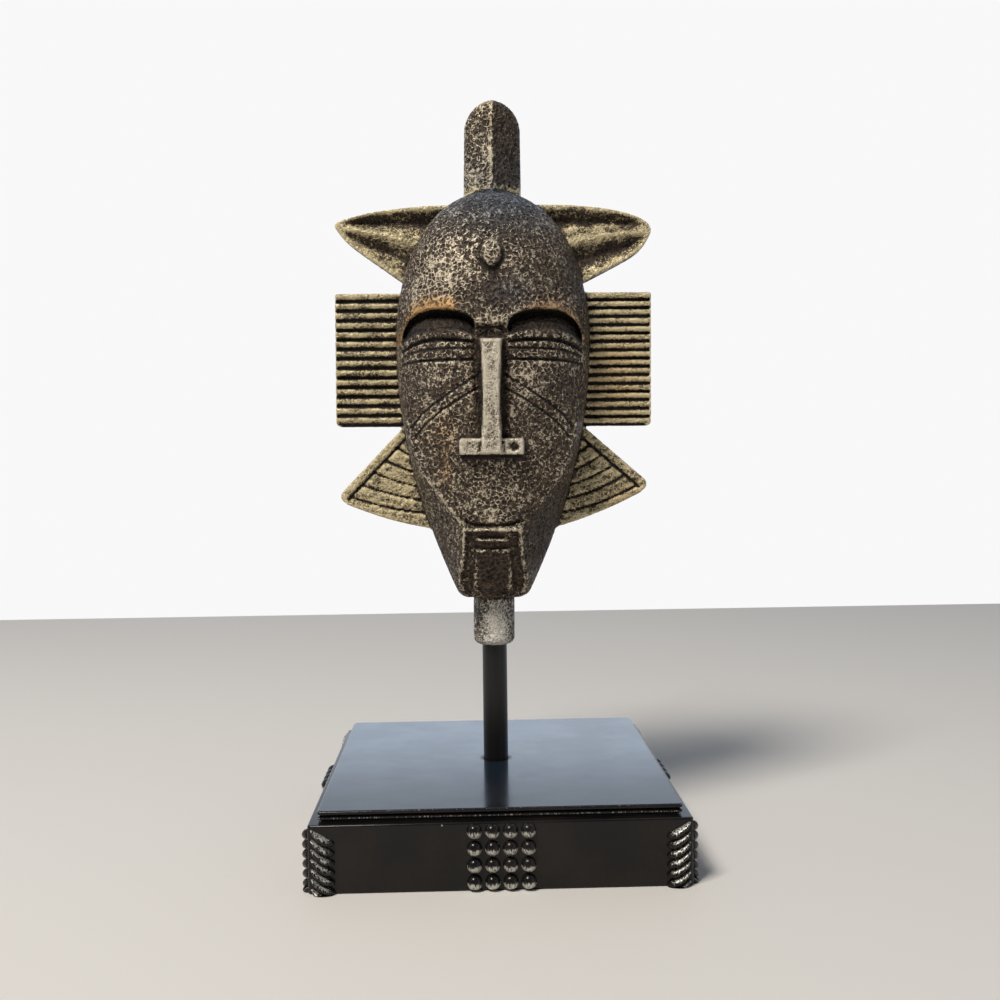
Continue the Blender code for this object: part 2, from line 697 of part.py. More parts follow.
def mask(parts, guides, finish):
    names = ("mask_pockets", "mask_forms", "face_lines", "fan_lines")
    pockets, forms, lines, fan_lines = (collection(name) for name in names)
    made = head(parts, finish)
    nose_bed(pockets)
    nose(forms)
    mouth(forms)
    boss(forms)
    crest(forms)
    collar(forms)
    mouth_line(lines)
    for side in (-1, 1):
        closed_eye(side, pockets)
        wing(side, forms)
        comb(side, COMB_RIDGE_COUNTS[0 if side < 0 else 1], forms)
        fan(side, forms, fan_lines)
        cheek_lines(side, lines)
    bore = ROD_DIAMETER / 2 + CLEARANCE
    top, foot = COLLAR_FOOT + COLLAR_SOCKET_DEPTH, COLLAR_FOOT - COLLAR_ROUND
    socket = socket_cutter("collar_socket", [(0, top), (bore, top), (bore, foot), (0, foot)], guides)
    # The exact solver leaves open edges here at some sizes of the head, so the mask takes the manifold one
    boolean(made, "DIFFERENCE", pockets, "MANIFOLD")
    boolean(made, "UNION", forms, "MANIFOLD")
    boolean(made, "DIFFERENCE", lines, "MANIFOLD")
    boolean(made, "DIFFERENCE", socket, "MANIFOLD")
    weld = made.modifiers.new("Weld", "WELD")
    weld.merge_threshold = WELD

    pivot = Vector((0, 0, COLLAR_FOOT + COLLAR_SOCKET_DEPTH / 2))
    turn = bpy.data.objects.new("mask_turn", None)
    guides.objects.link(turn)
    turn.location = pivot
    turn.rotation_euler = (0, MASK_LEAN, MASK_TURN)
    for item in (made, socket, *pockets.objects, *forms.objects, *lines.objects, *fan_lines.objects):
        item.parent = turn
        item.matrix_parent_inverse = Matrix.Translation(-pivot)
    return made


def rod(group, finish):
    radius = ROD_DIAMETER / 2
    top = COLLAR_FOOT + COLLAR_SOCKET_DEPTH - CLEARANCE
    foot = BASE_HEIGHT - BASE_SOCKET_DEPTH + CLEARANCE
    profile = [
        (0, top),
        (radius - ROD_CHAMFER, top),
        (radius, top - ROD_CHAMFER),
        (radius, foot + ROD_CHAMFER),
        (radius - ROD_CHAMFER, foot),
        (0, foot),
    ]
    return turned("rod", profile, ROUND_SIDES, group, finish)


def moulded_block(name, side, corner, segments, levels, group, finish=None):
    """A square block with eased corners, cut at each level and drawn in there by that level's inset."""
    low, high = levels[0][0], levels[-1][0]
    bm = bmesh.new()
    bmesh.ops.create_cube(bm, size=1)
    bmesh.ops.scale(bm, vec=(side, side, high - low), verts=bm.verts[:])
    bmesh.ops.translate(bm, vec=(0, 0, (low + high) / 2), verts=bm.verts[:])
    upright = [edge for edge in bm.edges if abs(edge.verts[0].co.z - edge.verts[1].co.z) > (high - low) / 2]
    bmesh.ops.bevel(bm, geom=upright, offset=corner, segments=segments, profile=0.5, affect="EDGES")
    for height, _ in levels[1:-1]:
        everything = bm.verts[:] + bm.edges[:] + bm.faces[:]
        bmesh.ops.bisect_plane(bm, geom=everything, plane_co=(0, 0, height), plane_no=(0, 0, 1))
    for vert in bm.verts:
        inset = min(levels, key=lambda level: abs(level[0] - vert.co.z))[1]
        vert.co.x -= math.copysign(inset, vert.co.x)
        vert.co.y -= math.copysign(inset, vert.co.y)
    return object_from(bm, name, group, finish)


def on_side(turn, along, height, stand):
    """A point on one of the base's four sides: along it from its middle, and out from it."""
    point = Vector((along, -BODY_SIDE / 2 - stand, height))
    for _ in range(turn):
        point = Vector((-point.y, point.x, point.z))
    return point


def beads(group):
    """Panels of half-round studs, row by row, on all four sides."""
    radius = BEAD_DIAMETER / 2
    row_pitch = (BODY_HEIGHT - 2 * BEAD_EDGE_GAP - BEAD_DIAMETER) / (BEAD_ROWS - 1)
    bm = bmesh.new()
    for turn in range(4):
        for row in range(BEAD_ROWS):
            for column in range(BEAD_COLUMNS):
                along = (column - (BEAD_COLUMNS - 1) / 2) * BEAD_PITCH
                height = BEAD_EDGE_GAP + radius + row * row_pitch

                def dome(point):
                    place = point * radius
                    return on_side(turn, along + place.x, height + place.y, point.z * BEAD_STAND)

                blob(bm, 6, 3, dome)
    return as_guide(object_from(bm, "beads", group))


def strand_place(turn, hand, start, point):
    """Bends a unit sphere into one strand: from the corner outwards it falls steeply, then levels."""
    share = (point.z + 1) / 2
    fall = STRAND_DROP * (1 - (1 - share) ** 2)
    along = hand * (BODY_SIDE / 2 - STRAND_SINK - STRAND_REACH * share)
    height = start - fall + point.x * STRAND_THICK / 2
    return on_side(turn, along, height, point.y * STRAND_STAND)


def plaits(group):
    """Strands in a chevron down each of the four corners."""
    first = BODY_HEIGHT - STRAND_THICK / 2
    pitch = (first - STRAND_LIFT - STRAND_THICK / 2) / (STRAND_COUNT - 1)
    bm = bmesh.new()
    for turn in range(4):
        for hand in (-1, 1):
            for index in range(STRAND_COUNT):
                blob(bm, 6, 3, lambda p: strand_place(turn, hand, first - index * pitch, p))
    everything = bm.verts[:] + bm.edges[:] + bm.faces[:]
    cut = bmesh.ops.bisect_plane(
        bm, geom=everything, plane_co=(0, 0, STRAND_LIFT), plane_no=(0, 0, -1), clear_outer=True
    )
    rim = [item for item in cut["geom_cut"] if isinstance(item, bmesh.types.BMEdge)]
    bmesh.ops.holes_fill(bm, edges=rim, sides=0)
    return as_guide(object_from(bm, "plaits", group))


def base(parts, guides, finish):
    ornaments = collection("base_ornaments")
    edge = BODY_EDGE
    body_levels = [(0, edge), (edge, 0), (BODY_HEIGHT - edge, 0), (BODY_HEIGHT, edge)]
    made = moulded_block("base", BODY_SIDE, BODY_CORNER, 3, body_levels, parts, finish)
    plate_levels = [(BODY_HEIGHT - CUT_MARGIN, 0.8 * PLATE_GROOVE)]
    plate_levels += [(BODY_HEIGHT + level * PLATE_HEIGHT, inset * PLATE_GROOVE) for level, inset in MOULDING]
    as_guide(moulded_block("plate", PLATE_SIDE, PLATE_CORNER, 2, plate_levels, ornaments))
    beads(ornaments)
    plaits(ornaments)
    boolean(made, "UNION", ornaments).use_self = True
    bore = ROD_DIAMETER / 2 + CLEARANCE
    mouth_radius = bore + SOCKET_MOUTH_WIDER
    above = BASE_HEIGHT + CUT_MARGIN
    profile = [
        (0, above),
        (mouth_radius, above),
        (mouth_radius, BASE_HEIGHT - 0.3 * SOCKET_MOUTH_DEPTH),
        (bore, BASE_HEIGHT - SOCKET_MOUTH_DEPTH),
        (bore, BASE_HEIGHT - BASE_SOCKET_DEPTH),
        (0, BASE_HEIGHT - BASE_SOCKET_DEPTH),
    ]
    boolean(made, "DIFFERENCE", socket_cutter("base_socket", profile, guides))
    return made


def main():
    clear_scene()
    parts = collection("mask_sculpture")
    guides = collection("cutters")
    bronze = material("old_bronze", (0.20, 0.16, 0.10), 0.55, 0.7)
    black_steel = material("black_steel", (0.03, 0.03, 0.032), 0.45, 0.5)
    black_lacquer = material("black_lacquer", (0.012, 0.012, 0.014), 0.28, 0.0)
    mask(parts, guides, bronze)
    rod(parts, black_steel)
    base(parts, guides, black_lacquer)


main()
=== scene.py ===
# %% [markdown]
# # A cast metal mask on a rod and a black lacquered base
#
# The mask is one casting with a hammered skin: an egg-shaped head with a crest, two leaf wings, two ribbed
# combs, two fans and a collar. A black rod carries it over a square block with beads and plaited corners.
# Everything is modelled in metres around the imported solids, so each piece is already where it belongs.

import math

import bpy
import numpy as np
from mathutils import Matrix, Vector


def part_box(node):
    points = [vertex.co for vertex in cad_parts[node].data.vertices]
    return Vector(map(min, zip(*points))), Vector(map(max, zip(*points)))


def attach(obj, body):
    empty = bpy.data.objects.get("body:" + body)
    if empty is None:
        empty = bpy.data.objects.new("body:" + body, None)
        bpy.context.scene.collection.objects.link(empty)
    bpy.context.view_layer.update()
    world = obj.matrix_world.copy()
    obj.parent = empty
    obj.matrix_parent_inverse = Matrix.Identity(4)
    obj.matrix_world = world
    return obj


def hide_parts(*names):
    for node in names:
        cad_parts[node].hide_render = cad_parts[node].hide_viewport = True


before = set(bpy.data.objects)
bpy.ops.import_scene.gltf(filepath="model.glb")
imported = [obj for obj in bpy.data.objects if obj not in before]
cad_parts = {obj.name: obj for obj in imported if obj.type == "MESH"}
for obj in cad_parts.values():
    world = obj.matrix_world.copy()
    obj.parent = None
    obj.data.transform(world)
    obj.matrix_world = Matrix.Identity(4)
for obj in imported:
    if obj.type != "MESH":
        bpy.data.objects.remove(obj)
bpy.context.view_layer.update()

MM = 0.001
BASE_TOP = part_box("base")[1].z
ROD_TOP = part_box("rod")[1].z
ROD_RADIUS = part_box("rod")[1].x
CLEARANCE = 0.3 * MM
COLLAR_SOCKET = 34.0 * MM
COLLAR_FOOT = ROD_TOP + CLEARANCE - COLLAR_SOCKET
COLLAR_LENGTH = 22.6 * MM
CHIN = COLLAR_FOOT + COLLAR_LENGTH
print("chin at", round(CHIN / MM, 1), "mm, base top at", round(BASE_TOP / MM, 1), "mm")

# %% [markdown]
# ## Camera
#
# The camera stands half a metre in front of the mask, a little above the chin, and looks slightly down. Its
# place was worked out from the corners of the square base, because four corners of a square tell where a
# lens stood and how it was turned.

# %% Camera
CAMERA_PLACE = Vector((-11.4, -499.8, 170.1)) * MM
CAMERA_YAW, CAMERA_PITCH, CAMERA_ROLL = 0.0294, -0.0390, -0.0124  # radians
CAMERA_LENS, CAMERA_SENSOR = 39.41, 36
CAMERA_NEAR = 10 * MM

camera = bpy.data.objects.new("camera", bpy.data.cameras.new("camera"))
bpy.context.scene.collection.objects.link(camera)
turn = Matrix.Rotation(-CAMERA_YAW, 4, "Z") @ Matrix.Rotation(math.pi / 2 + CAMERA_PITCH, 4, "X")
camera.matrix_world = Matrix.Translation(CAMERA_PLACE) @ turn @ Matrix.Rotation(CAMERA_ROLL, 4, "Z")
camera.data.lens = CAMERA_LENS
camera.data.sensor_width = CAMERA_SENSOR
camera.data.clip_start = CAMERA_NEAR
bpy.context.scene.camera = camera
print("camera", round(CAMERA_PLACE.length / MM), "mm from the middle of the base")

# %% [markdown]
# ## Helpers for nodes
#
# The surroundings, the hammering and the finishes are all node trees. Each of these helpers adds one node
# and returns its result, so that a chain of nodes can be written as a formula.


# %% Node helpers
def node(tree, kind, inputs=(), **settings):
    """Adds a node, gives it its settings, and links or sets its inputs by index or name."""
    made = tree.nodes.new(kind)
    for key, value in settings.items():
        setattr(made, key, value)
    for key, value in dict(inputs).items():
        if isinstance(value, bpy.types.NodeSocket):
            tree.links.new(value, made.inputs[key])
        else:
            made.inputs[key].default_value = value
    return made


def maths(tree, operation, a, b=0.0):
    return node(tree, "ShaderNodeMath", {0: a, 1: b}, operation=operation).outputs[0]


def plus(tree, a, b):
    return maths(tree, "ADD", a, b)


def minus(tree, a, b):
    return maths(tree, "SUBTRACT", a, b)


def times(tree, a, b):
    return maths(tree, "MULTIPLY", a, b)


def ramp(tree, value, low, high, start=0.0, end=1.0):
    """A soft step of the value from start at low to end at high."""
    inputs = {"Value": value, "From Min": low, "From Max": high, "To Min": start, "To Max": end}
    return node(tree, "ShaderNodeMapRange", inputs, interpolation_type="SMOOTHSTEP").outputs["Result"]


def colour_mix(tree, share, first, second):
    return node(tree, "ShaderNodeMix", {"Factor": share, 6: first, 7: second}, data_type="RGBA").outputs[2]


# %% [markdown]
# ## Floor, surroundings and light
#
# The floor and the surroundings are pale and plain. A large soft light hangs above and a little to the
# left, and a weak one fills in from the right. The surroundings are brighter behind the mask than in front
# of it, so the polished plate shines towards the back while its sides stay black. They light the shadows
# only weakly, so the carving keeps its dark side.

# %% Surroundings
BACKDROP = (0.95, 0.94, 0.95, 1)  # what the camera sees
SKY = (0.76, 0.86, 1.0, 1)  # what lights the pieces and is mirrored in them
SKY_SHINE, SKY_FILL = 1.0, 0.20  # strength in reflections and in the shadows
FRONT_SHARE = 0.22  # how bright the side in front of the mask is next to the one behind it
FRONT_FADE = 0.5

world = bpy.data.worlds.new("studio")
bpy.context.scene.world = world
world.use_nodes = True
tree = world.node_tree
path = node(tree, "ShaderNodeLightPath").outputs
direction = node(tree, "ShaderNodeTexCoord").outputs["Generated"]
backwards = node(tree, "ShaderNodeSeparateXYZ", {0: direction}).outputs["Y"]
behind = ramp(tree, backwards, -FRONT_FADE, FRONT_FADE, FRONT_SHARE, 1.0)
seen = maths(tree, "MAXIMUM", behind, path["Is Camera Ray"])
strength = ramp(tree, path["Is Diffuse Ray"], 0.0, 1.0, SKY_SHINE, SKY_FILL)
background = tree.nodes["Background"]
tree.links.new(colour_mix(tree, path["Is Camera Ray"], SKY, BACKDROP), background.inputs["Color"])
tree.links.new(times(tree, strength, seen), background.inputs["Strength"])
bpy.context.scene.view_settings.view_transform = "Standard"


# %% Floor and lights
def plain_material(name, colour, roughness):
    made = bpy.data.materials.new(name)
    made.use_nodes = True
    shader = made.node_tree.nodes["Principled BSDF"]
    shader.inputs["Base Color"].default_value = (*colour, 1)
    shader.inputs["Roughness"].default_value = roughness
    return made


def stage_plane(name, size, colour, roughness):
    bpy.ops.object.select_all(action="DESELECT")
    bpy.ops.mesh.primitive_plane_add(size=size)
    plane = bpy.context.object
    plane.name = name
    plane.data.materials.append(plain_material(name, colour, roughness))


def soft_light(name, place, aim, size, power, colour):
    light = bpy.data.lights.new(name, "AREA")
    light.size = size
    light.energy = power
    light.color = colour
    lamp = bpy.data.objects.new(name, light)
    bpy.context.scene.collection.objects.link(lamp)
    lamp.location = place
    lamp.rotation_euler = (Vector(aim) - Vector(place)).to_track_quat("-Z", "Y").to_euler()
    print(name, "light of", power, "W")


stage_plane("floor", size=1.4, colour=(0.84, 0.80, 0.75), roughness=0.7)
soft_light("key", place=(-0.75, -0.90, 1.80), aim=(0, 0, 0.2), size=0.60, power=36, colour=(1.0, 0.96, 0.90))
soft_light("fill", place=(0.9, -0.7, 0.35), aim=(0, 0, 0.15), size=0.8, power=0.8, colour=(0.92, 0.95, 1.0))


# %% [markdown]
# ## Helpers for modelling
#
# Each form starts as a primitive and is then shaped. The organic forms are shaped by a formula that moves
# all their points at once, which is what a sculptor's hand does to clay, and numpy makes that quick on
# dense meshes.


# %% Points and selection
def named(name):
    obj = bpy.context.object
    obj.name = obj.data.name = name
    return obj


def points(obj):
    flat = np.empty(len(obj.data.vertices) * 3)
    obj.data.vertices.foreach_get("co", flat)
    return flat.reshape(-1, 3)


def set_points(obj, places):
    obj.data.vertices.foreach_set("co", np.ascontiguousarray(places).ravel())
    obj.data.update()


def normals(obj):
    flat = np.empty(len(obj.data.vertices) * 3, np.float32)
    obj.data.vertex_normals.foreach_get("vector", flat)
    return flat.reshape(-1, 3)


def only(obj):
    """Selects one object and makes it the active one."""
    bpy.ops.object.select_all(action="DESELECT")
    obj.select_set(True)
    bpy.context.view_layer.objects.active = obj


def select_edges(obj, wanted):
    """Selects the edges whose two ends pass a test, and goes to edit mode."""
    only(obj)
    bpy.ops.object.mode_set(mode="EDIT")
    bpy.ops.mesh.select_mode(type="EDGE")
    bpy.ops.mesh.select_all(action="DESELECT")
    bpy.ops.object.mode_set(mode="OBJECT")
    for edge in obj.data.edges:
        edge.select = wanted(*(obj.data.vertices[v].co for v in edge.vertices))
    bpy.ops.object.mode_set(mode="EDIT")


# %% Joining, modifiers and counts
def joined(objects, name):
    only(objects[0])
    for obj in objects:
        obj.select_set(True)
    bpy.ops.object.join()
    return named(name)


def apply(obj, kind, **settings):
    """Adds a modifier, applies it and so keeps only its result."""
    only(obj)
    modifier = obj.modifiers.new(kind.title(), kind)
    for key, value in settings.items():
        setattr(modifier, key, value)
    bpy.ops.object.modifier_apply(modifier=modifier.name)


def faces_out(obj):
    only(obj)
    bpy.ops.object.mode_set(mode="EDIT")
    bpy.ops.mesh.select_all(action="SELECT")
    bpy.ops.mesh.normals_make_consistent(inside=False)
    bpy.ops.object.mode_set(mode="OBJECT")


def triangles(obj):
    return sum(len(face.vertices) - 2 for face in obj.data.polygons)


def open_edges(obj):
    """How many edges don't have exactly two faces, which is 0 on a closed skin."""
    used = np.empty(len(obj.data.loops), np.int32)
    obj.data.loops.foreach_get("edge_index", used)
    return int((np.bincount(used, minlength=len(obj.data.edges)) != 2).sum())


# %% Curves and steps
def mix(a, b, share):
    return a + (b - a) * share


def smooth(low, high, value):
    """0 below low, 1 above high, and a soft step in between."""
    share = np.clip((value - low) / (high - low), 0, 1)
    return share * share * (3 - 2 * share)


def round_curve(share, power):
    """A quarter of a superellipse: 1 at 0, and 0 at 1."""
    return (1 - np.clip(np.abs(share), 0, 1) ** power) ** (1 / power)


# %% [markdown]
# ## The head's form
#
# Seen from the front the head is an egg cut flat at the chin. Its upper half is a dome. Below the cheeks it
# turns into a flat shield with bevelled sides, and the edge between them is the jaw ridge. It could be
# sculpted by hand from a ball. Here formulas of the height above the chin give the half width, the depth on
# the middle line and the place of the jaw ridge, so that the carving can be laid on the surface later
# without measuring it again.

# %% Sizes of the head
HEAD_HEIGHT = 181.5 * MM
HEAD_WIDTH = 86.8 * MM
HEAD_FRONT = 34.0 * MM
HEAD_BACK = 12.0 * MM
MOUTH_FRONT = 29.5 * MM
CHIN_FRONT = 15.0 * MM
CHIN_ROUND = 2.0 * MM
LEAST_HALF = 0.01 * MM
# Levels as shares of the head's height, and widths as shares of its half width
WIDEST, MOUTH_TOP = 0.631, 0.176
CHIN_SHARE = 0.36
JAW_PLACES = (0.0, 0.04, 0.112, 0.18, 0.231, 0.305, 0.40, 0.50, 0.62, 1.0)
JAW_SHARES = (0.84, 0.836, 0.55, 0.437, 0.61, 0.84, 0.92, 0.90, 0.80, 0.75)
SHIELD_FALL, FALL_LEVELS = (0.06, 0.26), (0.15, 0.45)  # how far the shield falls back by its edge, and where
DOME_LEVELS = (0.36, 0.56)  # where the shield turns into the dome
# Powers of the round curves: 2 is an ellipse, and a higher one is squarer
OUTLINE_POWER, CROWN_POWER, CHEEK_POWER = 2.15, 2.4, 1.8
DOME_POWER, BEVEL_POWER, BACK_POWER = 2.3, 0.6, 3


# %% Formulas of the head
def up(share):
    return share * HEAD_HEIGHT


def out(share):
    return share * HEAD_WIDTH / 2


def above_widest(height):
    """0 up to the widest level, and 1 at the crown."""
    return np.clip((np.clip(height / HEAD_HEIGHT, 0, 1) - WIDEST) / (1 - WIDEST), 0, 1)


def chin_inset(height):
    """How far the chin's rounded edge draws the surface in."""
    return CHIN_ROUND * (1 - np.sqrt(1 - np.clip(1 - height / CHIN_ROUND, 0, 1) ** 2))


def half_width(height):
    share = np.clip(height / HEAD_HEIGHT, 0, 1)
    below = np.clip((WIDEST - share) / WIDEST, 0, 1)
    lower = out(CHIN_SHARE + (1 - CHIN_SHARE) * (1 - below**2)) - chin_inset(height)
    upper = out(1) * round_curve(above_widest(height), OUTLINE_POWER)
    return np.maximum(np.where(share >= WIDEST, upper, lower), LEAST_HALF)


def middle_depth(height):
    share = np.clip(height / HEAD_HEIGHT, 0, 1)
    below = np.clip((WIDEST - share) / (WIDEST - MOUTH_TOP), 0, 1)
    crown = HEAD_FRONT * round_curve(above_widest(height), CROWN_POWER)
    cheeks = mix(HEAD_FRONT, MOUTH_FRONT, below**CHEEK_POWER)
    mouth = mix(CHIN_FRONT, MOUTH_FRONT, share / MOUTH_TOP) - chin_inset(height)
    return np.where(share < MOUTH_TOP, mouth, np.where(share >= WIDEST, crown, cheeks))


def jaw_ridge(height):
    return half_width(height) * np.interp(height / HEAD_HEIGHT, JAW_PLACES, JAW_SHARES)


def head_depth(x, height):
    half, middle, share = half_width(height), middle_depth(height), height / HEAD_HEIGHT
    across = np.clip(np.abs(x) / half, 0, 1)
    dome = middle * round_curve(across, DOME_POWER)
    ridge = jaw_ridge(height)
    fall = mix(*SHIELD_FALL, smooth(*FALL_LEVELS, share))
    inside = middle * (1 - fall * np.minimum(1, np.abs(x) / ridge) ** 2)
    beyond = np.clip((np.abs(x) - ridge) / (half - ridge), 0, 1)
    outside = middle * (1 - fall) * (1 - beyond) ** BEVEL_POWER
    return mix(np.where(np.abs(x) <= ridge, inside, outside), dome, smooth(*DOME_LEVELS, share))


def head_back(x, height):
    flat = round_curve(above_widest(height), BACK_POWER)
    return HEAD_BACK * flat * round_curve(x / half_width(height), BACK_POWER)


# %% Head
HEAD_SEGMENTS, HEAD_RINGS = 220, 200
CROWN_RINGS, CHIN_RING = 0.35, 0.99  # shares of the rings at which the widest level and the chin lie
POLE = 0.99999

bpy.ops.object.select_all(action="DESELECT")
bpy.ops.mesh.primitive_uv_sphere_add(segments=HEAD_SEGMENTS, ring_count=HEAD_RINGS, radius=1)
head = named("head")
unit = points(head)
down = np.arccos(np.clip(unit[:, 2], -1, 1)) / math.pi
round_head = np.arctan2(unit[:, 0], -unit[:, 1])
crown = mix(up(WIDEST), HEAD_HEIGHT, np.cos(np.minimum(1, down / CROWN_RINGS) * math.pi / 2))
jaw = mix(up(WIDEST), 0, np.clip((down - CROWN_RINGS) / (CHIN_RING - CROWN_RINGS), 0, 1))
height = np.where(down < CROWN_RINGS, crown, jaw)
pole = np.abs(unit[:, 2]) > POLE
x = np.where(pole, 0, half_width(height) * np.sin(round_head))
in_front = np.abs(round_head) <= math.pi / 2 + 0.001
y = np.where(in_front, -head_depth(x, height), head_back(x, height))
set_points(head, np.stack([x, np.where(pole, 0, y), CHIN + height], 1))
print("head", len(head.data.vertices), "points")

# %% [markdown]
# ## Slabs behind the face
#
# The crest, the wings, the combs and the fans stand on a common plane behind the face. Each one is a thick
# slab. It could be cut from a cube, but a grid whose back is extruded in edit mode has even points all over
# its front, and those can be laid on any outline and relief.

# %% Slab helper
SIDE_BACK = 6.5 * MM
SIDE_FRONT = -0.5 * MM
SIDE_REACH = 71.8 * MM
SIDE_ROOT = 8.0 * MM


def slab(name, columns, rows, front, back_y):
    """A grid from (0, 0) to (1, 1) whose front is put at front(u, v), closed by a back in one plane."""
    bpy.ops.mesh.primitive_grid_add(x_subdivisions=columns, y_subdivisions=rows, size=1)
    made = named(name)
    bpy.ops.object.mode_set(mode="EDIT")
    bpy.ops.mesh.extrude_region_move(TRANSFORM_OT_translate={"value": (0, 0, -1)})
    bpy.ops.object.mode_set(mode="OBJECT")
    flat = points(made)
    x, depth, height = front(flat[:, 0] + 0.5, flat[:, 1] + 0.5)
    y = np.where(flat[:, 2] < -0.5, back_y, -depth)
    set_points(made, np.stack([x, y, CHIN + height], 1))
    faces_out(made)
    print(name, len(made.data.vertices), "points")
    return made


# %% [markdown]
# ## Crest
#
# The crest is an upright tongue with a round top and one sharp ridge down its front. Its rows of points are
# spread along the straight part and then along the quarter turn of the top, so the round end stays even.

# %% Crest
CREST_HEIGHT, CREST_ROOT = 40.2 * MM, 16.0 * MM
CREST_HALF = (13.1 * MM, 12.5 * MM)  # at its root and at its shoulder
CREST_RIDGE, CREST_SIDE = 11.5 * MM, 3.0 * MM  # how far the ridge and the sides stand forward
RIDGE_FADE = 0.75  # share of the ridge's stand that is left at the top
SHOULDER_ROW = 0.6  # share of the rows that lie below the shoulder
LEAST_TOP = 0.004
CREST_POWER = 5


def crest_front(u, v):
    foot, top = HEAD_HEIGHT - CREST_ROOT, HEAD_HEIGHT + CREST_HEIGHT
    shoulder = top - CREST_HALF[1]
    turn = np.clip((v - SHOULDER_ROW) / (1 - SHOULDER_ROW), 0, 1) * math.pi / 2
    straight = mix(foot, shoulder, v / SHOULDER_ROW)
    height = np.where(v < SHOULDER_ROW, straight, mix(shoulder, top, np.sin(turn)))
    over = np.clip((height - shoulder) / (top - shoulder), 0, 1)
    full = mix(CREST_HALF[0], CREST_HALF[1], np.minimum(1, (height - foot) / (shoulder - foot)))
    x = (2 * u - 1) * full * np.sqrt(np.maximum(LEAST_TOP, 1 - over**2))
    fade = mix(1, RIDGE_FADE, smooth(foot, top, height))
    ridge = CREST_SIDE + (CREST_RIDGE - CREST_SIDE) * (1 - np.abs(x) / full) * fade
    return x, ridge * round_curve(np.hypot(x / full, over), CREST_POWER), height


crest = slab("crest", 40, 80, crest_front, SIDE_BACK)

# %% [markdown]
# ## Wings
#
# The wings are pointed leaves with a rim, two valleys and a middle ridge. The two of the pair were modelled
# by hand on the real mask, so left and right differ in the height of the tip and in the curve of both
# edges.

# %% Wings
WING_TIP = (0.924, 0.906)  # left, right
WING_CROWN = (1.7, 2.2)
WING_BELLY, BELLY_POWER = (0.86, 0.72), 10
WING_ROOT_TOP = (out(0.46), up(0.9735))
WING_ROOT_FOOT = (out(0.86), up(0.769))
WING_RELIEF = 4.2 * MM
RELIEF_END = 0.3  # share of the wing's length, next to the tip, in which the relief runs out
WING_PLACES = (0.0, 0.05, 0.16, 0.27, 0.38, 0.51, 0.66, 0.79, 0.87, 0.95, 1.0)
WING_DEPTHS = (0.0, 0.0, 0.5, 0.85, 0.35, -0.15, 0.5, 1.0, 0.5, 0.05, 0.0)
ROOT_COLUMNS = 0.08  # share of the columns that lie inside the head
TIP_CROWDING, TIP_END = 1.7, 0.995


def wing(side):
    hand = 0 if side < 0 else 1
    tip_height = up(WING_TIP[hand])

    def front(u, v):
        beyond = np.clip((u - ROOT_COLUMNS) / (1 - ROOT_COLUMNS), 0, 1)
        run = TIP_END * (1 - (1 - beyond) ** TIP_CROWDING)
        high = mix(tip_height, WING_ROOT_TOP[1], round_curve(run, WING_CROWN[hand]))
        rise = WING_BELLY[hand] * run + (1 - WING_BELLY[hand]) * run**BELLY_POWER
        low = mix(WING_ROOT_FOOT[1], tip_height, rise)
        x = mix(mix(WING_ROOT_FOOT[0], SIDE_REACH, run), mix(WING_ROOT_TOP[0], SIDE_REACH, run), v)
        x = x - SIDE_ROOT * (1 - np.clip(u / ROOT_COLUMNS, 0, 1))
        carved = WING_RELIEF * np.interp(v, WING_PLACES, WING_DEPTHS) * smooth(0, RELIEF_END, 1 - run)
        return side * x, -SIDE_FRONT - carved, mix(low, high, v)

    return slab(f"wing_{hand}", 90, 70, front, SIDE_BACK)


wings = [wing(side) for side in (-1, 1)]

# %% [markdown]
# ## Combs and fans
#
# Beside the eyes stand two square combs, and below them two fans that widen outwards to a blunt tip. Both
# start as flat slabs with rounded corners. Their ribs and lines are carved later, with the face, so that
# all the carving is done on the one skin.

# %% Combs
COMB_FOOT = up(0.4226)
COMB_HEIGHT = 60.4 * MM
COMB_CORNER = (2.2 * MM, 0.9 * MM)  # rounding of the lower and the upper outer corner


def round_corner(x, height, centre, radius, quarter):
    """Pulls the points beyond a corner's circle back on to it; quarter is the way out of the corner."""
    across, rise = x - centre[0], height - centre[1]
    away = np.hypot(across, rise)
    beyond = (across * quarter[0] > 0) & (rise * quarter[1] > 0) & (away > radius)
    shrink = np.where(beyond, radius / np.maximum(away, 1e-9), 1)
    return centre[0] + across * shrink, centre[1] + rise * shrink


def comb(side):
    def front(u, v):
        x = mix(out(0.86) - SIDE_ROOT, SIDE_REACH, u)
        height = mix(COMB_FOOT, COMB_FOOT + COMB_HEIGHT, v)
        for radius, end, way in zip(COMB_CORNER, (COMB_FOOT, COMB_FOOT + COMB_HEIGHT), (-1, 1)):
            centre = (SIDE_REACH - radius, end - way * radius)
            x, height = round_corner(x, height, centre, radius, (1, way))
        return side * x, np.full_like(x, -SIDE_FRONT), height

    return slab(f"comb_{side}", 50, 90, front, SIDE_BACK)


# %% Fans
FAN_TOP = np.array((out(0.93), up(0.425)))
FAN_FOOT = np.array((out(0.55), up(0.161)))
FAN_TIP, FAN_TIP_REACH = (0.239, 0.271), 0.8 * MM
FAN_TIP_ROUND = 3.2 * MM
FAN_BULGE = 1.8 * MM
FAN_ROOT = 0.12  # how much of its length a fan runs on into the head


def fan_corners(side):
    tip = np.array((SIDE_REACH + FAN_TIP_REACH, up(FAN_TIP[0 if side < 0 else 1])))
    return FAN_TOP, FAN_FOOT, tip


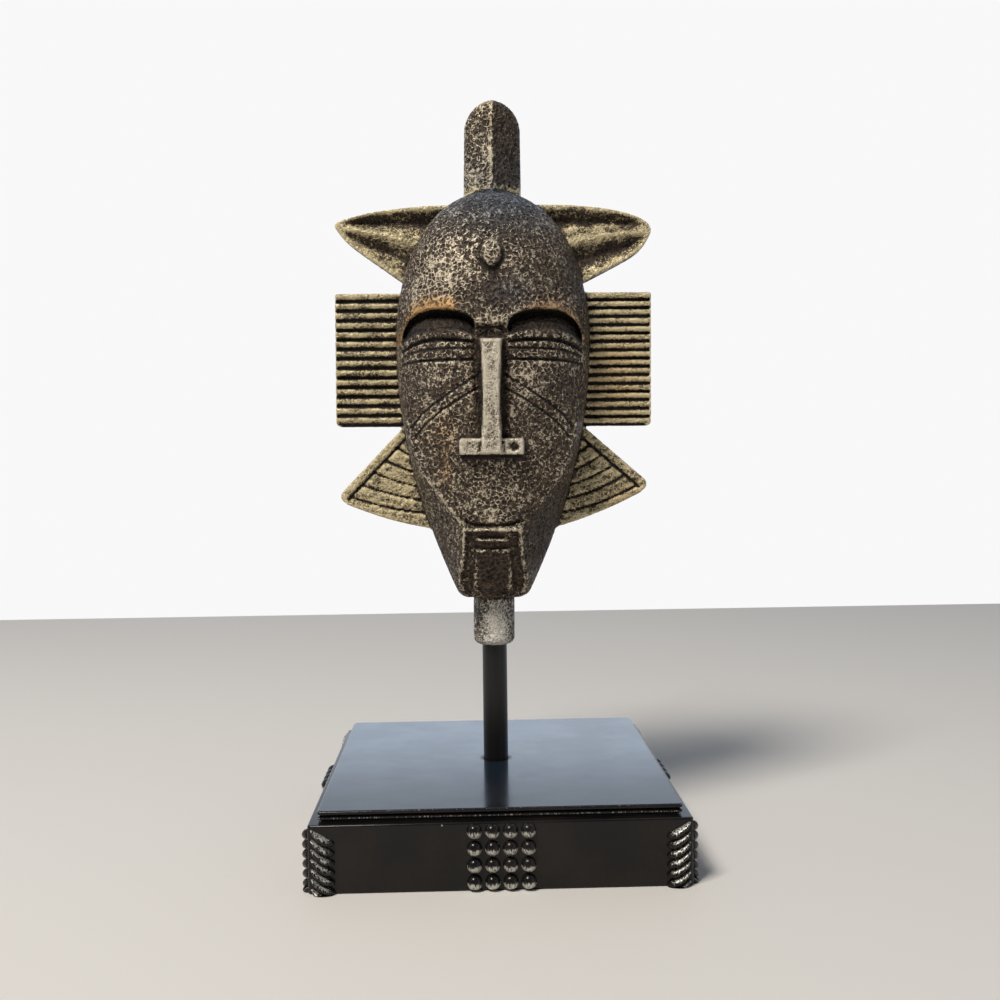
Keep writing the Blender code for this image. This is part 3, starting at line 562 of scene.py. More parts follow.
def round_tip(place, top, foot, tip):
    """Pulls the points beyond the circle that fits the tip back on to it."""
    before, after = (top - tip) / np.linalg.norm(top - tip), (foot - tip) / np.linalg.norm(foot - tip)
    middle = (before + after) / np.linalg.norm(before + after)
    spread = math.acos(float(before @ after)) / 2
    centre = tip + middle * FAN_TIP_ROUND / math.sin(spread)
    across = place - centre
    away = np.linalg.norm(across, axis=1)
    beyond = (across @ -middle > FAN_TIP_ROUND * math.sin(spread)) & (away > FAN_TIP_ROUND)
    shrink = np.where(beyond, FAN_TIP_ROUND / np.maximum(away, 1e-9), 1)[:, None]
    return centre + across * shrink


def fan(side):
    top, foot, tip = fan_corners(side)

    def front(u, v):
        run = (u * (1 + FAN_ROOT) - FAN_ROOT)[:, None]
        inner = np.clip(run, 0, 1)
        upper, lower = mix(top, tip, inner), mix(foot, tip, inner)
        lower = lower - [0, FAN_BULGE] * np.sin(math.pi * inner)
        place = mix(lower, upper, v[:, None]) + np.minimum(run, 0) * [SIDE_ROOT / FAN_ROOT, 0]
        place = round_tip(place, top, foot, tip)
        return side * place[:, 0], np.full(len(u), -SIDE_FRONT), place[:, 1]

    return slab(f"fan_{side}", 70, 60, front, SIDE_BACK)


side_pieces = [make(side) for side in (-1, 1) for make in (comb, fan)]

# %% [markdown]
# ## Collar
#
# A round collar below the chin takes the rod. It is a cylinder that runs on into the head, and only the
# edge of its foot is rounded, with a bevel in edit mode.

# %% Collar
COLLAR_RADIUS = 9.35 * MM
COLLAR_ROOT = 8.0 * MM
COLLAR_ROUND = 3.0 * MM

collar_height = COLLAR_LENGTH + COLLAR_ROOT
middle = (0, 0, COLLAR_FOOT + collar_height / 2)
bpy.ops.mesh.primitive_cylinder_add(vertices=96, radius=COLLAR_RADIUS, depth=collar_height, location=middle)
collar = named("collar")
bpy.ops.object.transform_apply(location=True)
select_edges(collar, lambda a, b: max(a.z, b.z) < COLLAR_FOOT + MM)
bpy.ops.mesh.bevel(offset=COLLAR_ROUND, segments=6)
bpy.ops.object.mode_set(mode="OBJECT")
print("collar", len(collar.data.vertices), "points")

# %% [markdown]
# ## One casting
#
# The real mask was cast in one pour, so the forms are joined and a voxel remesh melts them into one closed
# skin of even small faces. Only such a skin can be carved and hammered all over. The remesh is done once
# before the carving and once after it, so that the walls which the carving leaves get small faces as well.

# %% Join and remesh
SKIN = 0.6 * MM

casting = joined([head, crest, collar, *wings, *side_pieces], "mask_casting")
apply(casting, "REMESH", mode="VOXEL", voxel_size=SKIN)
print("first skin", len(casting.data.vertices), "points")

# %% [markdown]
# ## Closed eyes
#
# Under each brow lies a deep shadowed pocket, then the closed lid and the lines below the eye. All the
# carving is one formula of the place across and up the face. It gives the depth of the finished surface,
# and every point of the front is moved to it. That keeps the lines sharp and alike on both sides, which a
# brush wouldn't.

# %% Sizes of the eyes
BROW_END = (out(0.91), up(0.622))
BROW_APEX = (out(0.565), up(0.693))
BROW_INNER = (out(0.165), up(0.655))
BROW_POWER = 2.2
SOCKET_RECESS = 8.5 * MM
LID_GAP, LID_RIM_DEPTH = 4.0 * MM, 3.4 * MM
BAND_GAP = 0.5 * MM
EYE_END = 0.97  # share of the way to the brow's outer end at which the eye starts to run out
EDGE = 0.5 * MM  # softness of the carving's edges
# Share of the head's height, and in mm how far the outer and the inner end droop and how deep the line lies
EYE_BANDS = ((0.568, 0.4, 0.0, -0.3), (0.5745, 1.2, 0.0, 2.0), (0.580, 1.5, 0.0, 0.5),
             (0.596, 2.3, 0.0, 0.3), (0.6005, 2.6, 0.0, 1.5), (0.605, 2.9, 0.2, 0.3),
             (0.6155, 3.8, 0.9, 0.3), (0.622, 4.4, 1.3, 3.2), (0.629, 4.4, 1.6, 0.5),
             (0.639, 4.2, 2.4, 0.3), (0.658, 6.0, 4.0, 1.6))


# %% Formulas of the eyes
def brow_height(across):
    outer = np.where(across > BROW_APEX[0], BROW_END[0], BROW_INNER[0])
    level = np.where(across > BROW_APEX[0], BROW_END[1], BROW_INNER[1])
    away = np.abs(across - BROW_APEX[0]) / np.abs(outer - BROW_APEX[0])
    return mix(level, BROW_APEX[1], round_curve(away, BROW_POWER))


def eye_levels(height_of_brow, inner, away):
    """The levels of the eye's lines from the lowest up, and how deep each one lies."""
    rim = height_of_brow - LID_GAP
    levels, depths = [], []
    for index, (share, droop_outer, droop_inner, sunk) in enumerate(EYE_BANDS):
        droop = np.where(inner, droop_inner, droop_outer) * MM * away**2
        levels.append(np.minimum(up(share) - droop, rim - (len(EYE_BANDS) - index) * BAND_GAP))
        depths.append(sunk * MM)
    return levels + [rim, height_of_brow - EDGE], depths + [LID_RIM_DEPTH, SOCKET_RECESS]


def eye_depth(across, height):
    """How deep the closed eye lies under the plain face, and 0 away from it."""
    inner = across < BROW_APEX[0]
    reach = np.where(inner, BROW_INNER[0] - BROW_APEX[0], BROW_END[0] - BROW_APEX[0])
    away = (across - BROW_APEX[0]) / reach
    brow = brow_height(across)
    levels, depths = eye_levels(brow, inner, away)
    sunk = np.zeros_like(height)
    for low, high, start, end in zip(levels, levels[1:], depths, depths[1:]):
        within = (height >= low) & (height <= high)
        step = smooth(0, 1, (height - low) / np.maximum(high - low, 1e-6))
        sunk = np.where(within, mix(start, end, step), sunk)
    pocket = smooth(0, 1, (brow + EDGE / 2 - height) / EDGE)
    sunk = np.where(height > brow - EDGE, SOCKET_RECESS * pocket, sunk)
    ends = smooth(BROW_INNER[0] - EDGE, BROW_INNER[0] + EDGE, across)
    ends *= 1 - smooth(EYE_END, 1.0, away * ~inner)
    return sunk * ends * (height >= levels[0] - EDGE)


# %% Masks and distances
def box_mask(across, height, half, low, high, corner=0.0):
    """1 inside a rounded box, 0 outside it, with a soft edge."""
    beside = np.abs(across) - (half - corner)
    above = np.abs(height - (low + high) / 2) - ((high - low) / 2 - corner)
    away = np.hypot(np.maximum(beside, 0), np.maximum(above, 0)) + np.minimum(np.maximum(beside, above), 0)
    return 1 - smooth(-EDGE / 2, EDGE / 2, away - corner)


def line_distance(x, height, route):
    """Distance in the front view from a line of (x, height) points."""
    place = np.stack([x, height], 1)
    nearest = np.full(len(x), 1.0)
    for start, end in zip(np.array(route), np.array(route)[1:]):
        along = end - start
        share = np.clip((place - start) @ along / (along @ along), 0, 1)[:, None]
        nearest = np.minimum(nearest, np.linalg.norm(place - start - share * along, axis=1))
    return nearest


# %% [markdown]
# ## Brows, cheek lines, nose and boss
#
# The brow has a low rim over the pocket. Two engraved lines run from the nose down each cheek. The nose is
# a narrow flat bar, a little waisted, which ends in a wide nostril bar with a shallow oval in each half. It
# stands in a hollow of its own, so its sides stay dark. An oval boss marks the middle of the forehead.

# %% Sizes of the nose, the lines and the boss
BROW_RIM, RIM_RISE, RIM_FALL = 0.7 * MM, (-0.2 * MM, 0.8 * MM), (1.5 * MM, 4.5 * MM)
NOSE_HALF, NOSE_WAIST, WAIST_POWER = 4.7 * MM, 0.2, 0.8
NOSE_TOP, NOSE_FOOT, NOSTRIL_TOP = up(0.622), up(0.351), up(0.3895)
NOSE_STAND, NOSE_LEAN = 5.0 * MM, 1.5 * MM
NOSE_BED, BED_HALF, BED_FOOT_HALF = 3.2 * MM, BROW_INNER[0] + 2 * MM, 9.8 * MM
NOSTRIL_HALF, NOSTRIL_STAND = 13.9 * MM, 3.6 * MM
NOSTRIL_DROP, NOSTRIL_CORNER = 0.3 * MM, 1.6 * MM
HOLE_PLACE, HOLE_HALF, HOLE_DEPTH = 9.4 * MM, (2.6 * MM, 2.2 * MM), (0.4 * MM, 1.0 * MM)
PARTING_GAP, PARTING_HALF, PARTING_DEPTH = 0.3 * MM, 0.5 * MM, 0.8 * MM
BOSS_HALF, BOSS_POWER = (4.3 * MM, 5.9 * MM), 3
BOSS_CENTRE, BOSS_STAND = up(0.8255), 3.8 * MM
LINE_HALF, LINE_DEPTH = 0.9 * MM, 1.4 * MM
CHEEK_LINES = (((0.13, 0.540), (0.33, 0.510), (0.56, 0.474), (0.71, 0.446), (0.80, 0.415)),
               ((0.13, 0.509), (0.29, 0.487), (0.48, 0.459), (0.66, 0.425), (0.77, 0.392)))


# %% Formulas of the brows, the nose and the lines
def cheek_routes():
    return [[(out(share), up(level)) for share, level in line] for line in CHEEK_LINES]


def brows_and_eyes(depth, across, height):
    rim = height - brow_height(across)
    ends = smooth(BROW_INNER[0], BROW_INNER[0] + 3 * MM, across)
    ends *= 1 - smooth(BROW_END[0], out(0.97), across)
    depth = depth + BROW_RIM * smooth(*RIM_RISE, rim) * (1 - smooth(*RIM_FALL, rim)) * ends
    bed = box_mask(across, height, BED_HALF, NOSTRIL_TOP, BROW_INNER[1])
    v = np.clip((height - NOSTRIL_TOP) / (BROW_INNER[1] - NOSTRIL_TOP), 0, 1)
    bed *= 1 - smooth(0.55, 1.0, across / mix(BED_FOOT_HALF, BED_HALF, v))
    depth -= np.where(across < BED_HALF, NOSE_BED * mix(0.4, 1, v) * bed, 0)
    beside_nose = (across > BROW_INNER[0] - EDGE) & (across < out(0.93))
    return depth - np.where(beside_nose, eye_depth(across, height), 0)


def nose(depth, x, height, spine):
    across = np.abs(x)
    v = np.clip((height - NOSE_FOOT) / (NOSE_TOP - NOSE_FOOT), 0, 1)
    nostrils = box_mask(across, height, NOSTRIL_HALF, NOSE_FOOT - NOSTRIL_DROP, NOSTRIL_TOP, NOSTRIL_CORNER)
    depth = mix(depth, spine + NOSTRIL_STAND, nostrils)
    rise = height - (NOSE_FOOT + NOSTRIL_TOP) / 2
    hole = np.hypot((across - HOLE_PLACE) / HOLE_HALF[0], rise / HOLE_HALF[1])
    depth -= np.where(x > 0, HOLE_DEPTH[1], HOLE_DEPTH[0]) * (1 - smooth(0.7, 1.1, hole))
    bridge = NOSE_HALF * (1 - NOSE_WAIST * np.sin(math.pi * v) ** WAIST_POWER)
    parting = 1 - smooth(0, PARTING_HALF, np.abs(across - bridge - PARTING_GAP))
    depth -= PARTING_DEPTH * parting * nostrils
    stand = spine + NOSE_STAND + NOSE_LEAN * (1 - v)
    return mix(depth, stand, box_mask(across, height, bridge, NOSE_FOOT, NOSE_TOP))


# %% [markdown]
# ## Box mouth
#
# The mouth is a box between the jaw ridges: a raised frame, sunk inside, with a short upper lip and a long
# lower lip that narrows towards the chin. A deep fold runs across the face above the frame.

# %% Mouth
FRAME_STAND, FRAME_RIM, FRAME_SINK, LIP_STAND = 1.5 * MM, 1.5 * MM, 1.5 * MM, 2.0 * MM
FRAME_INSET = 0.3 * MM
UPPER_LIP, UPPER_LIP_HALF = (up(0.143), up(0.151)), out(0.148)
LOWER_LIP = (CHIN_ROUND * 1.8, up(0.124))
LOWER_LIP_SHARES = (0.214, 0.164)  # of the head's half width, at the lip's foot and top
FOLD_GAP, FOLD_RISE, FOLD_POWER = 1.3 * MM, 2 * MM, 4
FOLD_HALF, FOLD_DEPTH = 1.3 * MM, 2.0 * MM


def mouth(depth, x, height, spine):
    across = np.abs(x)
    edge = jaw_ridge(height) - FRAME_INSET
    frame_box = box_mask(across, height, edge, LOWER_LIP[0], up(MOUTH_TOP))
    inside = box_mask(across, height, edge - FRAME_RIM, LOWER_LIP[0], up(MOUTH_TOP) - FRAME_RIM)
    depth = depth + FRAME_STAND * frame_box - FRAME_SINK * inside
    lip_half = out(mix(*LOWER_LIP_SHARES, np.clip(height / LOWER_LIP[1], 0, 1)))
    depth = mix(depth, spine + LIP_STAND, box_mask(across, height, lip_half, *LOWER_LIP))
    depth = mix(depth, spine + LIP_STAND, box_mask(across, height, UPPER_LIP_HALF, *UPPER_LIP))
    reach = jaw_ridge(np.array(up(MOUTH_TOP))) - MM
    fold = up(MOUTH_TOP) + FOLD_GAP + FOLD_RISE * (across / reach) ** FOLD_POWER
    groove = (1 - smooth(0, FOLD_HALF, np.abs(height - fold))) * (across < reach)
    return depth - FOLD_DEPTH * groove


def face_depth(x, height):
    """The finished depth of the face: the plain head, changed by each form in turn."""
    spine = head_depth(np.zeros_like(x), height)
    depth = brows_and_eyes(head_depth(x, height), np.abs(x), height)
    for route in cheek_routes():
        depth -= LINE_DEPTH * (1 - smooth(0, LINE_HALF, line_distance(np.abs(x), height, route)))
    depth = nose(depth, x, height, spine)
    oval = np.hypot(np.abs(x) / BOSS_HALF[0], (height - BOSS_CENTRE) / BOSS_HALF[1])
    depth += BOSS_STAND * round_curve(oval, BOSS_POWER)
    return mouth(depth, x, height, spine)


# %% [markdown]
# ## Ribs and fan lines
#
# The left comb has fourteen ribs with a sharp undercut edge and the right one sixteen fuller ones, as two
# hands might have modelled them. Each fan has a rim and six curved grooves. They are depths below the flat
# fronts, so the same formulas tell the finish later where its dark lines lie.

# %% Combs and fans, carved
COMB_RIDGES = (14, 16)
COMB_GROOVE = 2.8 * MM
# Places across one rib as shares of its pitch, and how deep it is cut there
SHARP_RIB = ((0, 0.1, 0.36, 0.62, 0.88, 1), (0.45, 1, 0.25, 0, 0, 0.45))
FULL_RIB = ((0, 0.12, 0.3, 0.6, 0.86, 1), (0.7, 1, 0.2, 0, 0.1, 0.7))
FAN_RIM, RIM_LINE_DEPTH = 4.4 * MM, 2.0 * MM
FAN_GROOVES, GROOVE_DEPTH, GROOVE_CURVE = 6, 1.6 * MM, 1.8
GROOVE_STARTS, GROOVE_ENDS = (0.14, 0.97), (0.25, 0.84)  # from the first groove to the last
LINE_FOOT, LINE_SIDE = 0.1 * MM, 0.95 * MM


def comb_depth(x, height):
    count = np.where(x < 0, *COMB_RIDGES)
    tooth = (height - COMB_FOOT) / COMB_HEIGHT * count
    cut = np.where(x < 0, np.interp(tooth % 1, *SHARP_RIB), np.interp(tooth % 1, *FULL_RIB))
    ends = smooth(0.0, 0.08, tooth) * (1 - smooth(count - 0.3, count - 0.1, tooth))
    return COMB_GROOVE * cut * ends


def fan_lines(side):
    """The depth and the route of each line on a fan: first its rim, and then the curved lines cut into it.
    """
    top, foot, tip = fan_corners(side)
    slope = (tip - top) / np.linalg.norm(tip - top)
    inward = np.array((slope[1], -slope[0])) * FAN_RIM
    rim_top, rim_foot = top + inward - slope * FAN_RIM, tip + inward - slope * FAN_RIM
    yield RIM_LINE_DEPTH, [rim_top, rim_foot]
    for number in range(FAN_GROOVES):
        share = number / (FAN_GROOVES - 1)
        start = mix(rim_top, rim_foot, mix(*GROOVE_STARTS, share))
        end = np.array((foot[0], mix(rim_top[1], foot[1], mix(*GROOVE_ENDS, share))))
        turns = np.linspace(0, 1, 7)
        route = [(mix(start[0], end[0], t), mix(end[1], start[1], (1 - t) ** GROOVE_CURVE)) for t in turns]
        yield GROOVE_DEPTH, route


def plate_depth(x, height):
    """How deep the combs' and fans' fronts are carved."""
    in_comb = (height > COMB_FOOT) & (height < COMB_FOOT + COMB_HEIGHT)
    cut = np.where(in_comb, comb_depth(x, height), 0)
    for side in (-1, 1):
        for depth, route in fan_lines(side):
            line = depth * (1 - smooth(LINE_FOOT, LINE_SIDE, line_distance(side * x, height, route)))
            cut = np.maximum(cut, np.where(in_comb, 0, line))
    return cut


# %% Carve
PLATE_START = 24 * MM  # the side pieces start this far from the middle
FACE_START = -3 * MM  # the face lies in front of this place
FACE_LEVELS = (0.3 * MM, HEAD_HEIGHT - 8 * MM)
FLATNESS, FACING = 0.3 * MM, -0.7  # how near to the flat front a point lies, and how squarely it faces

places, faces = points(casting), normals(casting)
x, height = places[:, 0], places[:, 2] - CHIN
on_plate = (np.abs(places[:, 1] - SIDE_FRONT) < FLATNESS) & (faces[:, 1] < FACING)
on_plate &= (np.abs(x) > PLATE_START) & (height < COMB_FOOT + COMB_HEIGHT + MM)
on_face = (places[:, 1] < FACE_START) & (height < FACE_LEVELS[1]) & (height > FACE_LEVELS[0])
moved = np.where(on_face, head_depth(x, height) - face_depth(x, height), 0)
moved = np.where(on_plate, plate_depth(x, height), moved)
places[:, 1] += moved
set_points(casting, places)
print("deepest cut", round(moved.max() / MM, 1), "mm, highest form", round(-moved.min() / MM, 1), "mm")
apply(casting, "REMESH", mode="VOXEL", voxel_size=SKIN)
print("second skin", len(casting.data.vertices), "points")

# %% [markdown]
# ## Bore
#
# The rod stands in a bore up the collar. It is cut with a boolean after the last remesh, because a remesh
# would round its mouth, and before the thinning, while every face of the skin is still small and even.

# %% Bore the collar for the rod
SOCKET_RADIUS = ROD_RADIUS + CLEARANCE


def bore_cylinder(middle_height, depth):
    bpy.ops.mesh.primitive_cylinder_add(vertices=64, radius=SOCKET_RADIUS, depth=depth,
                                        location=(0, 0, middle_height))
    return bpy.context.object


bore = bore_cylinder(COLLAR_FOOT, 2 * COLLAR_SOCKET)
apply(casting, "BOOLEAN", operation="DIFFERENCE", solver="MANIFOLD", object=bore)
bpy.data.objects.remove(bore)
print("bored", len(casting.data.vertices), "points,", open_edges(casting), "open edges")

# %% [markdown]
# ## Pattern of the hammered skin
#
# The skin of the casting is a lace of thin ridges round small dark pits. It could be painted in a picture,
# but a pattern of cells and noise has no seams and no pixels. The hammering moves the points by it, and the
# finish below reads the same pattern, so that the dark colour lies in the pits.


# %% Texture helpers
def noise(tree, place, scale, detail=1.0, roughness=0.5):
    inputs = {"Vector": place, "Scale": scale, "Detail": detail, "Roughness": roughness}
    return node(tree, "ShaderNodeTexNoise", inputs)


def vector(tree, operation, a, b):
    made = node(tree, "ShaderNodeVectorMath", {0: a}, operation=operation)
    key = "Scale" if operation == "SCALE" else 1
    if isinstance(b, bpy.types.NodeSocket):
        tree.links.new(b, made.inputs[key])
    else:
        made.inputs[key].default_value = b
    return made.outputs["Vector"]


def cell_edges(tree, place, scale):
    """Distance from the nearest edge between two cells, in mm."""
    inputs = {"Vector": place, "Scale": scale}
    cells = node(tree, "ShaderNodeTexVoronoi", inputs, feature="DISTANCE_TO_EDGE")
    return times(tree, cells.outputs["Distance"], 1 / (scale * MM))


# %% The pattern of ridges and pits
PIT_SCALE, FINE_SCALE = 470.0, 860.0  # coarse and fine pits to a metre
WARP_SCALE, WARP = 520.0, 2.2 * MM
MISSING_SCALE, WHOLE_SCALE = 160.0, 640.0  # of the patches without fine pits, and of the gaps in the ridges
RIDGE_EDGE, RIDGE_FOOT, PIT_FOOT = 0.0, 0.30, 0.62  # in mm from the middle of a ridge


def lace(tree, place):
    """The hammered skin: its height, 1 on a ridge and 0 in a pit, and the thin top of the ridges."""
    swirl = noise(tree, place, WARP_SCALE, 3.0, 0.65).outputs["Color"]
    swirl = vector(tree, "SCALE", vector(tree, "SUBTRACT", swirl, (0.5, 0.5, 0.5)), WARP)
    moved = vector(tree, "ADD", place, swirl)
    missing = ramp(tree, noise(tree, place, MISSING_SCALE).outputs["Fac"], 0.46, 0.60, 0.5, 0.0)
    fine = plus(tree, cell_edges(tree, moved, FINE_SCALE), missing)
    away = maths(tree, "MINIMUM", cell_edges(tree, moved, PIT_SCALE), fine)
    whole = ramp(tree, noise(tree, place, WHOLE_SCALE, 2.0, 0.6).outputs["Fac"], 0.40, 0.60, 0.10, 1.0)
    thin = times(tree, ramp(tree, away, RIDGE_EDGE, RIDGE_FOOT, 1.0, 0.0), whole)
    return ramp(tree, away, RIDGE_EDGE, PIT_FOOT, 1.0, 0.0), thin


# %% [markdown]
# ## What the finish has to know
#
# Rubbed paint lies on edges and misses hollows, so each point gets a measure of how far it stands out from
# its neighbours, near and far, and the same measures darken the hollows as painted shade. Each point also
# learns which part of the mask it belongs to. These measures are kept as attributes of the mesh, which
# follow the surface however it is thinned.


# %% Measuring edges and hollows
def smoothed(obj, values, rounds):
    """Averages a value of each point with its neighbours', a number of times."""
    edges = np.empty(len(obj.data.edges) * 2, np.int32)
    obj.data.edges.foreach_get("vertices", edges)
    ends = np.concatenate([edges[0::2], edges[1::2]])
    others = np.concatenate([edges[1::2], edges[0::2]])
    count = np.bincount(ends, minlength=len(values))[:, None]
    for _ in range(rounds):
        columns = [np.bincount(ends, values[others, i], len(values)) for i in range(values.shape[1])]
        values = 0.3 * values + 0.7 * np.stack(columns, 1) / count
    return values


places, faces = points(casting), normals(casting)
x, z, height = places[:, 0], places[:, 2], places[:, 2] - CHIN
across = np.abs(x)
convex = np.einsum("ij,ij->i", places - smoothed(casting, places, 8), faces) / MM
hollow = -np.einsum("ij,ij->i", places - smoothed(casting, places, 50), faces) / MM
convex = smoothed(casting, convex[:, None], 1)[:, 0]
for label, values in (("edges", convex), ("hollows", hollow)):
    print(label, np.percentile(values, (1, 10, 50, 90, 99)).round(2), "mm")

# %% Parts of the mask
beside = across > half_width(height) + 0.5 * MM
on_nose = (box_mask(across, height, NOSTRIL_HALF, NOSE_FOOT, NOSE_TOP)
           * (places[:, 1] < -head_depth(x, height) - 1.5 * MM))
on_collar = 1 - smooth(-1.5 * MM, 0.5 * MM, height)
in_bore = (np.hypot(x, places[:, 1]) < SOCKET_RADIUS + 0.3 * MM) & (height < COLLAR_SOCKET)
on_crest = smooth(HEAD_HEIGHT, HEAD_HEIGHT + 4 * MM, height)
on_side = beside * (1 - on_crest) * (1 - on_collar)
on_wing = on_side * (height > COMB_FOOT + COMB_HEIGHT)
in_front = places[:, 1] < 0
on_face = places[:, 1] < FACE_START
print("side pieces", int((on_side > 0.5).sum()), "points, crest", int((on_crest > 0.5).sum()), "points")

# %% [markdown]
# ## Where the brush was heavy and where it was light
#
# The pale gold was rubbed on by hand, heavily beside the nose and above the brows and hardly at all on the
# jaw. Soft spots say where. The paint also caught on the edges of the carving and missed its lines, and the
# formulas that carved the mask tell where those are. Paint is an amount, about 0.4 on the plain skin and 1
# where all is covered. A second amount is 1 where the finish is left dark: in the engraved lines, and as
# painted shade in the eye pockets, under the nostril bar, below the boss, in the carved lines of the side
# pieces and on their faces that look down.

# %% Spots of paint
# Centre and half size of each spot of the front in mm, and how much more or less paint it took
BRUSH_SPOTS = (
    ((-20, 252), (22, 24), 0.44), ((-25, 238), (18, 10), 0.42), ((12, 252), (13, 18), 0.22),
    ((0, 229), (15, 8), 0.50), ((24, 237), (18, 7), 0.28), ((3, 239), (15, 9), -0.35),
    ((0, 286), (40, 20), -0.14), ((38, 252), (14, 34), -0.32), ((-38, 262), (10, 30), -0.15),
    ((-20, 207), (18, 7), 0.25), ((16, 205), (16, 9), 0.42), ((30, 192), (18, 30), -0.12),
    ((0, 160), (22, 18), 0.26), ((-22, 152), (12, 18), 0.12), ((-3, 147), (16, 8), 0.42),
    ((-24, 226), (20, 7), -0.35), ((24, 226), (20, 7), -0.30), ((-24, 218), (20, 6), -0.20),
    ((24, 218), (20, 6), -0.10), ((24, 135), (19, 36), -0.55), ((0, 122), (19, 25), -0.60),
    ((-24, 128), (14, 26), -0.24), ((-21, 181), (10, 14), 0.24),
)
BASE_PAINT = 0.38


def spots(kinds):
    """The sum of soft ovals of the front view, each with its centre and half size in mm and its amount."""
    total = np.zeros(len(x))
    for centre, size, amount in kinds:
        away = np.hypot((x / MM - centre[0]) / size[0], (z / MM - centre[1]) / size[1])
        total += amount * smooth(1.0, 0.0, away)
    return total


paint = BASE_PAINT + spots(BRUSH_SPOTS)
print("paint of the spots from", round(paint.min(), 2), "to", round(paint.max(), 2))

# %% Paint at the eyes and on the cheeks
EYE_EDGE_PAINT, EYE_PAINT = 0.36, -0.32
CHEEK_EDGE_PAINT = 0.30
LID_SHADE = 0.4  # how dark the pocket is left above the lid, next to the lines

lined = on_face & (across > BROW_INNER[0]) & (across < out(0.93))
sunk = eye_depth(across, height) / MM * lined
in_eye = lined * smooth(up(0.563), up(0.570), height) * smooth(0, -1.5 * MM, height - brow_height(across))
in_lid = in_eye * smooth(up(0.645), up(0.655), height)
# Painted shade: the deep parts of the eye are painted dark, less so in the pocket above the lid.
dark_lines_and_shade = np.clip(smooth(0.7, 1.3, sunk) * (1 - (1 - LID_SHADE) * in_lid), 0, 1)
paint += in_eye * (EYE_EDGE_PAINT * smooth(1.0, 0.4, sunk) + EYE_PAINT) * (1 - in_lid)
cheek_line = np.min([line_distance(across, height, route) for route in cheek_routes()], axis=0) / MM
dark_lines_and_shade = np.maximum(dark_lines_and_shade, on_face * smooth(0.60, 0.15, cheek_line))
paint += on_face * CHEEK_EDGE_PAINT * smooth(1.6, 0.8, cheek_line)

# %% Paint on the mouth, the boss and the brows
MOUTH_EDGE_PAINT, BOSS_PAINT, BROW_PAINT = 0.52, 0.35, 0.32
BOSS_SHADOW = 0.8

lip_top, low = up(0.1225), LOWER_LIP[0]
frame_top = up(MOUTH_TOP) - 0.6 * MM
jaw_heights = np.concatenate([[low, frame_top], up(np.array((0.205, 0.231, 0.268, 0.305, 0.36)))])
jaw_line = np.stack([jaw_ridge(jaw_heights) - 0.8 * MM * (jaw_heights <= frame_top), jaw_heights], 1)
mouth_lines = ([(0, frame_top), jaw_line[1]], jaw_line, [(0, up(0.149)), (UPPER_LIP_HALF, up(0.149))],
               [(0, lip_top), (out(0.205), lip_top), (out(0.158), low)])
mouth_line = np.min([line_distance(across, height, line) for line in mouth_lines], axis=0) / MM
paint += on_face * MOUTH_EDGE_PAINT * smooth(1.1, 0.3, mouth_line) * smooth(up(0.38), up(0.25), height)
boss = np.hypot(x / BOSS_HALF[0], (height - BOSS_CENTRE) / BOSS_HALF[1])
paint += BOSS_PAINT * smooth(1.0, 0.8, boss) * in_front
# Painted shadow: a dark ring round the foot of the boss, on its lower right side.
lower_right = smooth(-2 * MM, 4 * MM, x / 2 + BOSS_CENTRE - height)
boss_painted_shadow = smooth(1.0, 1.1, boss) * smooth(1.5, 1.25, boss) * lower_right
dark_lines_and_shade = np.maximum(dark_lines_and_shade, BOSS_SHADOW * boss_painted_shadow * in_front)
over_brow = height - brow_height(across)
brow = smooth(-1.5 * MM, 0, over_brow) * smooth(9 * MM, 2 * MM, over_brow) * smooth(9 * MM, 18 * MM, across)
brow *= on_face * np.where(x < 0, 1.0, 0.7)
paint += BROW_PAINT * brow
# Painted shadow: a dark band just under the nostril bar, kept off the nose itself.
nose_painted_shadow = box_mask(across, height, NOSTRIL_HALF - 0.5 * MM, NOSE_FOOT - 1.6 * MM, NOSE_FOOT + 0.2 * MM)
dark_lines_and_shade = np.maximum(dark_lines_and_shade, on_face * nose_painted_shadow * (1 - on_nose))

# %% Paint on the nose, the collar and the crest
NOSE_PAINT = 1.10
# The collar's silver carries a painted highlight: a bright upright band just right of its middle, fading to
# its sides.
COLLAR_PAINT, COLLAR_HIGHLIGHT = 0.62, ((1.5, 92), (9, 22), 0.75)
# Painted light and shade on the crest: its left side is painted lit and its right side in shade.
CREST_LIGHT_AND_SHADE = (0.62, 0.02)  # on the left and the right side of its ridge
# Along the crest's sharp ridge the gold is rubbed on the edge and made brighter as a painted highlight.
CREST_FOOT_PAINT, CREST_RIDGE_GOLD_AND_HIGHLIGHT = 0.20, 0.55
CREST_MIDDLE = 0.3 * MM

paint = mix(paint, NOSE_PAINT, on_nose)
# Painted highlight down the front of the collar.
paint = mix(paint, COLLAR_PAINT + spots([COLLAR_HIGHLIGHT]), on_collar)
low_left = smooth(HEAD_HEIGHT + 22 * MM, HEAD_HEIGHT + 2 * MM, height)
# The crest's painted light and shade, and the painted highlight on its ridge.
crest_light_and_shade = np.where(x < CREST_MIDDLE, CREST_LIGHT_AND_SHADE[0] + CREST_FOOT_PAINT * low_left, CREST_LIGHT_AND_SHADE[1])
crest_edge = smooth(1.6 * MM, 0.4 * MM, np.abs(x + CREST_MIDDLE)) * in_front
paint = mix(paint, crest_light_and_shade + CREST_RIDGE_GOLD_AND_HIGHLIGHT * crest_edge, on_crest)

# %% Paint on the wings, the combs and the fans
SIDE_PAINT = {"wing": (1.06, 1.00), "comb": (0.98, 1.22), "fan": (1.14, 1.02)}  # left, right
# The last of these is how dark the wing valleys are painted as shade.
WING_RIDGE_PAINT, WING_VALLEY_PAINT, WING_VALLEY_SHADE = 0.20, -0.16, 0.25
WING_SHADOW = 0.3  # how dark a face of the wing that looks down is left
BACK_PAINT = 0.30

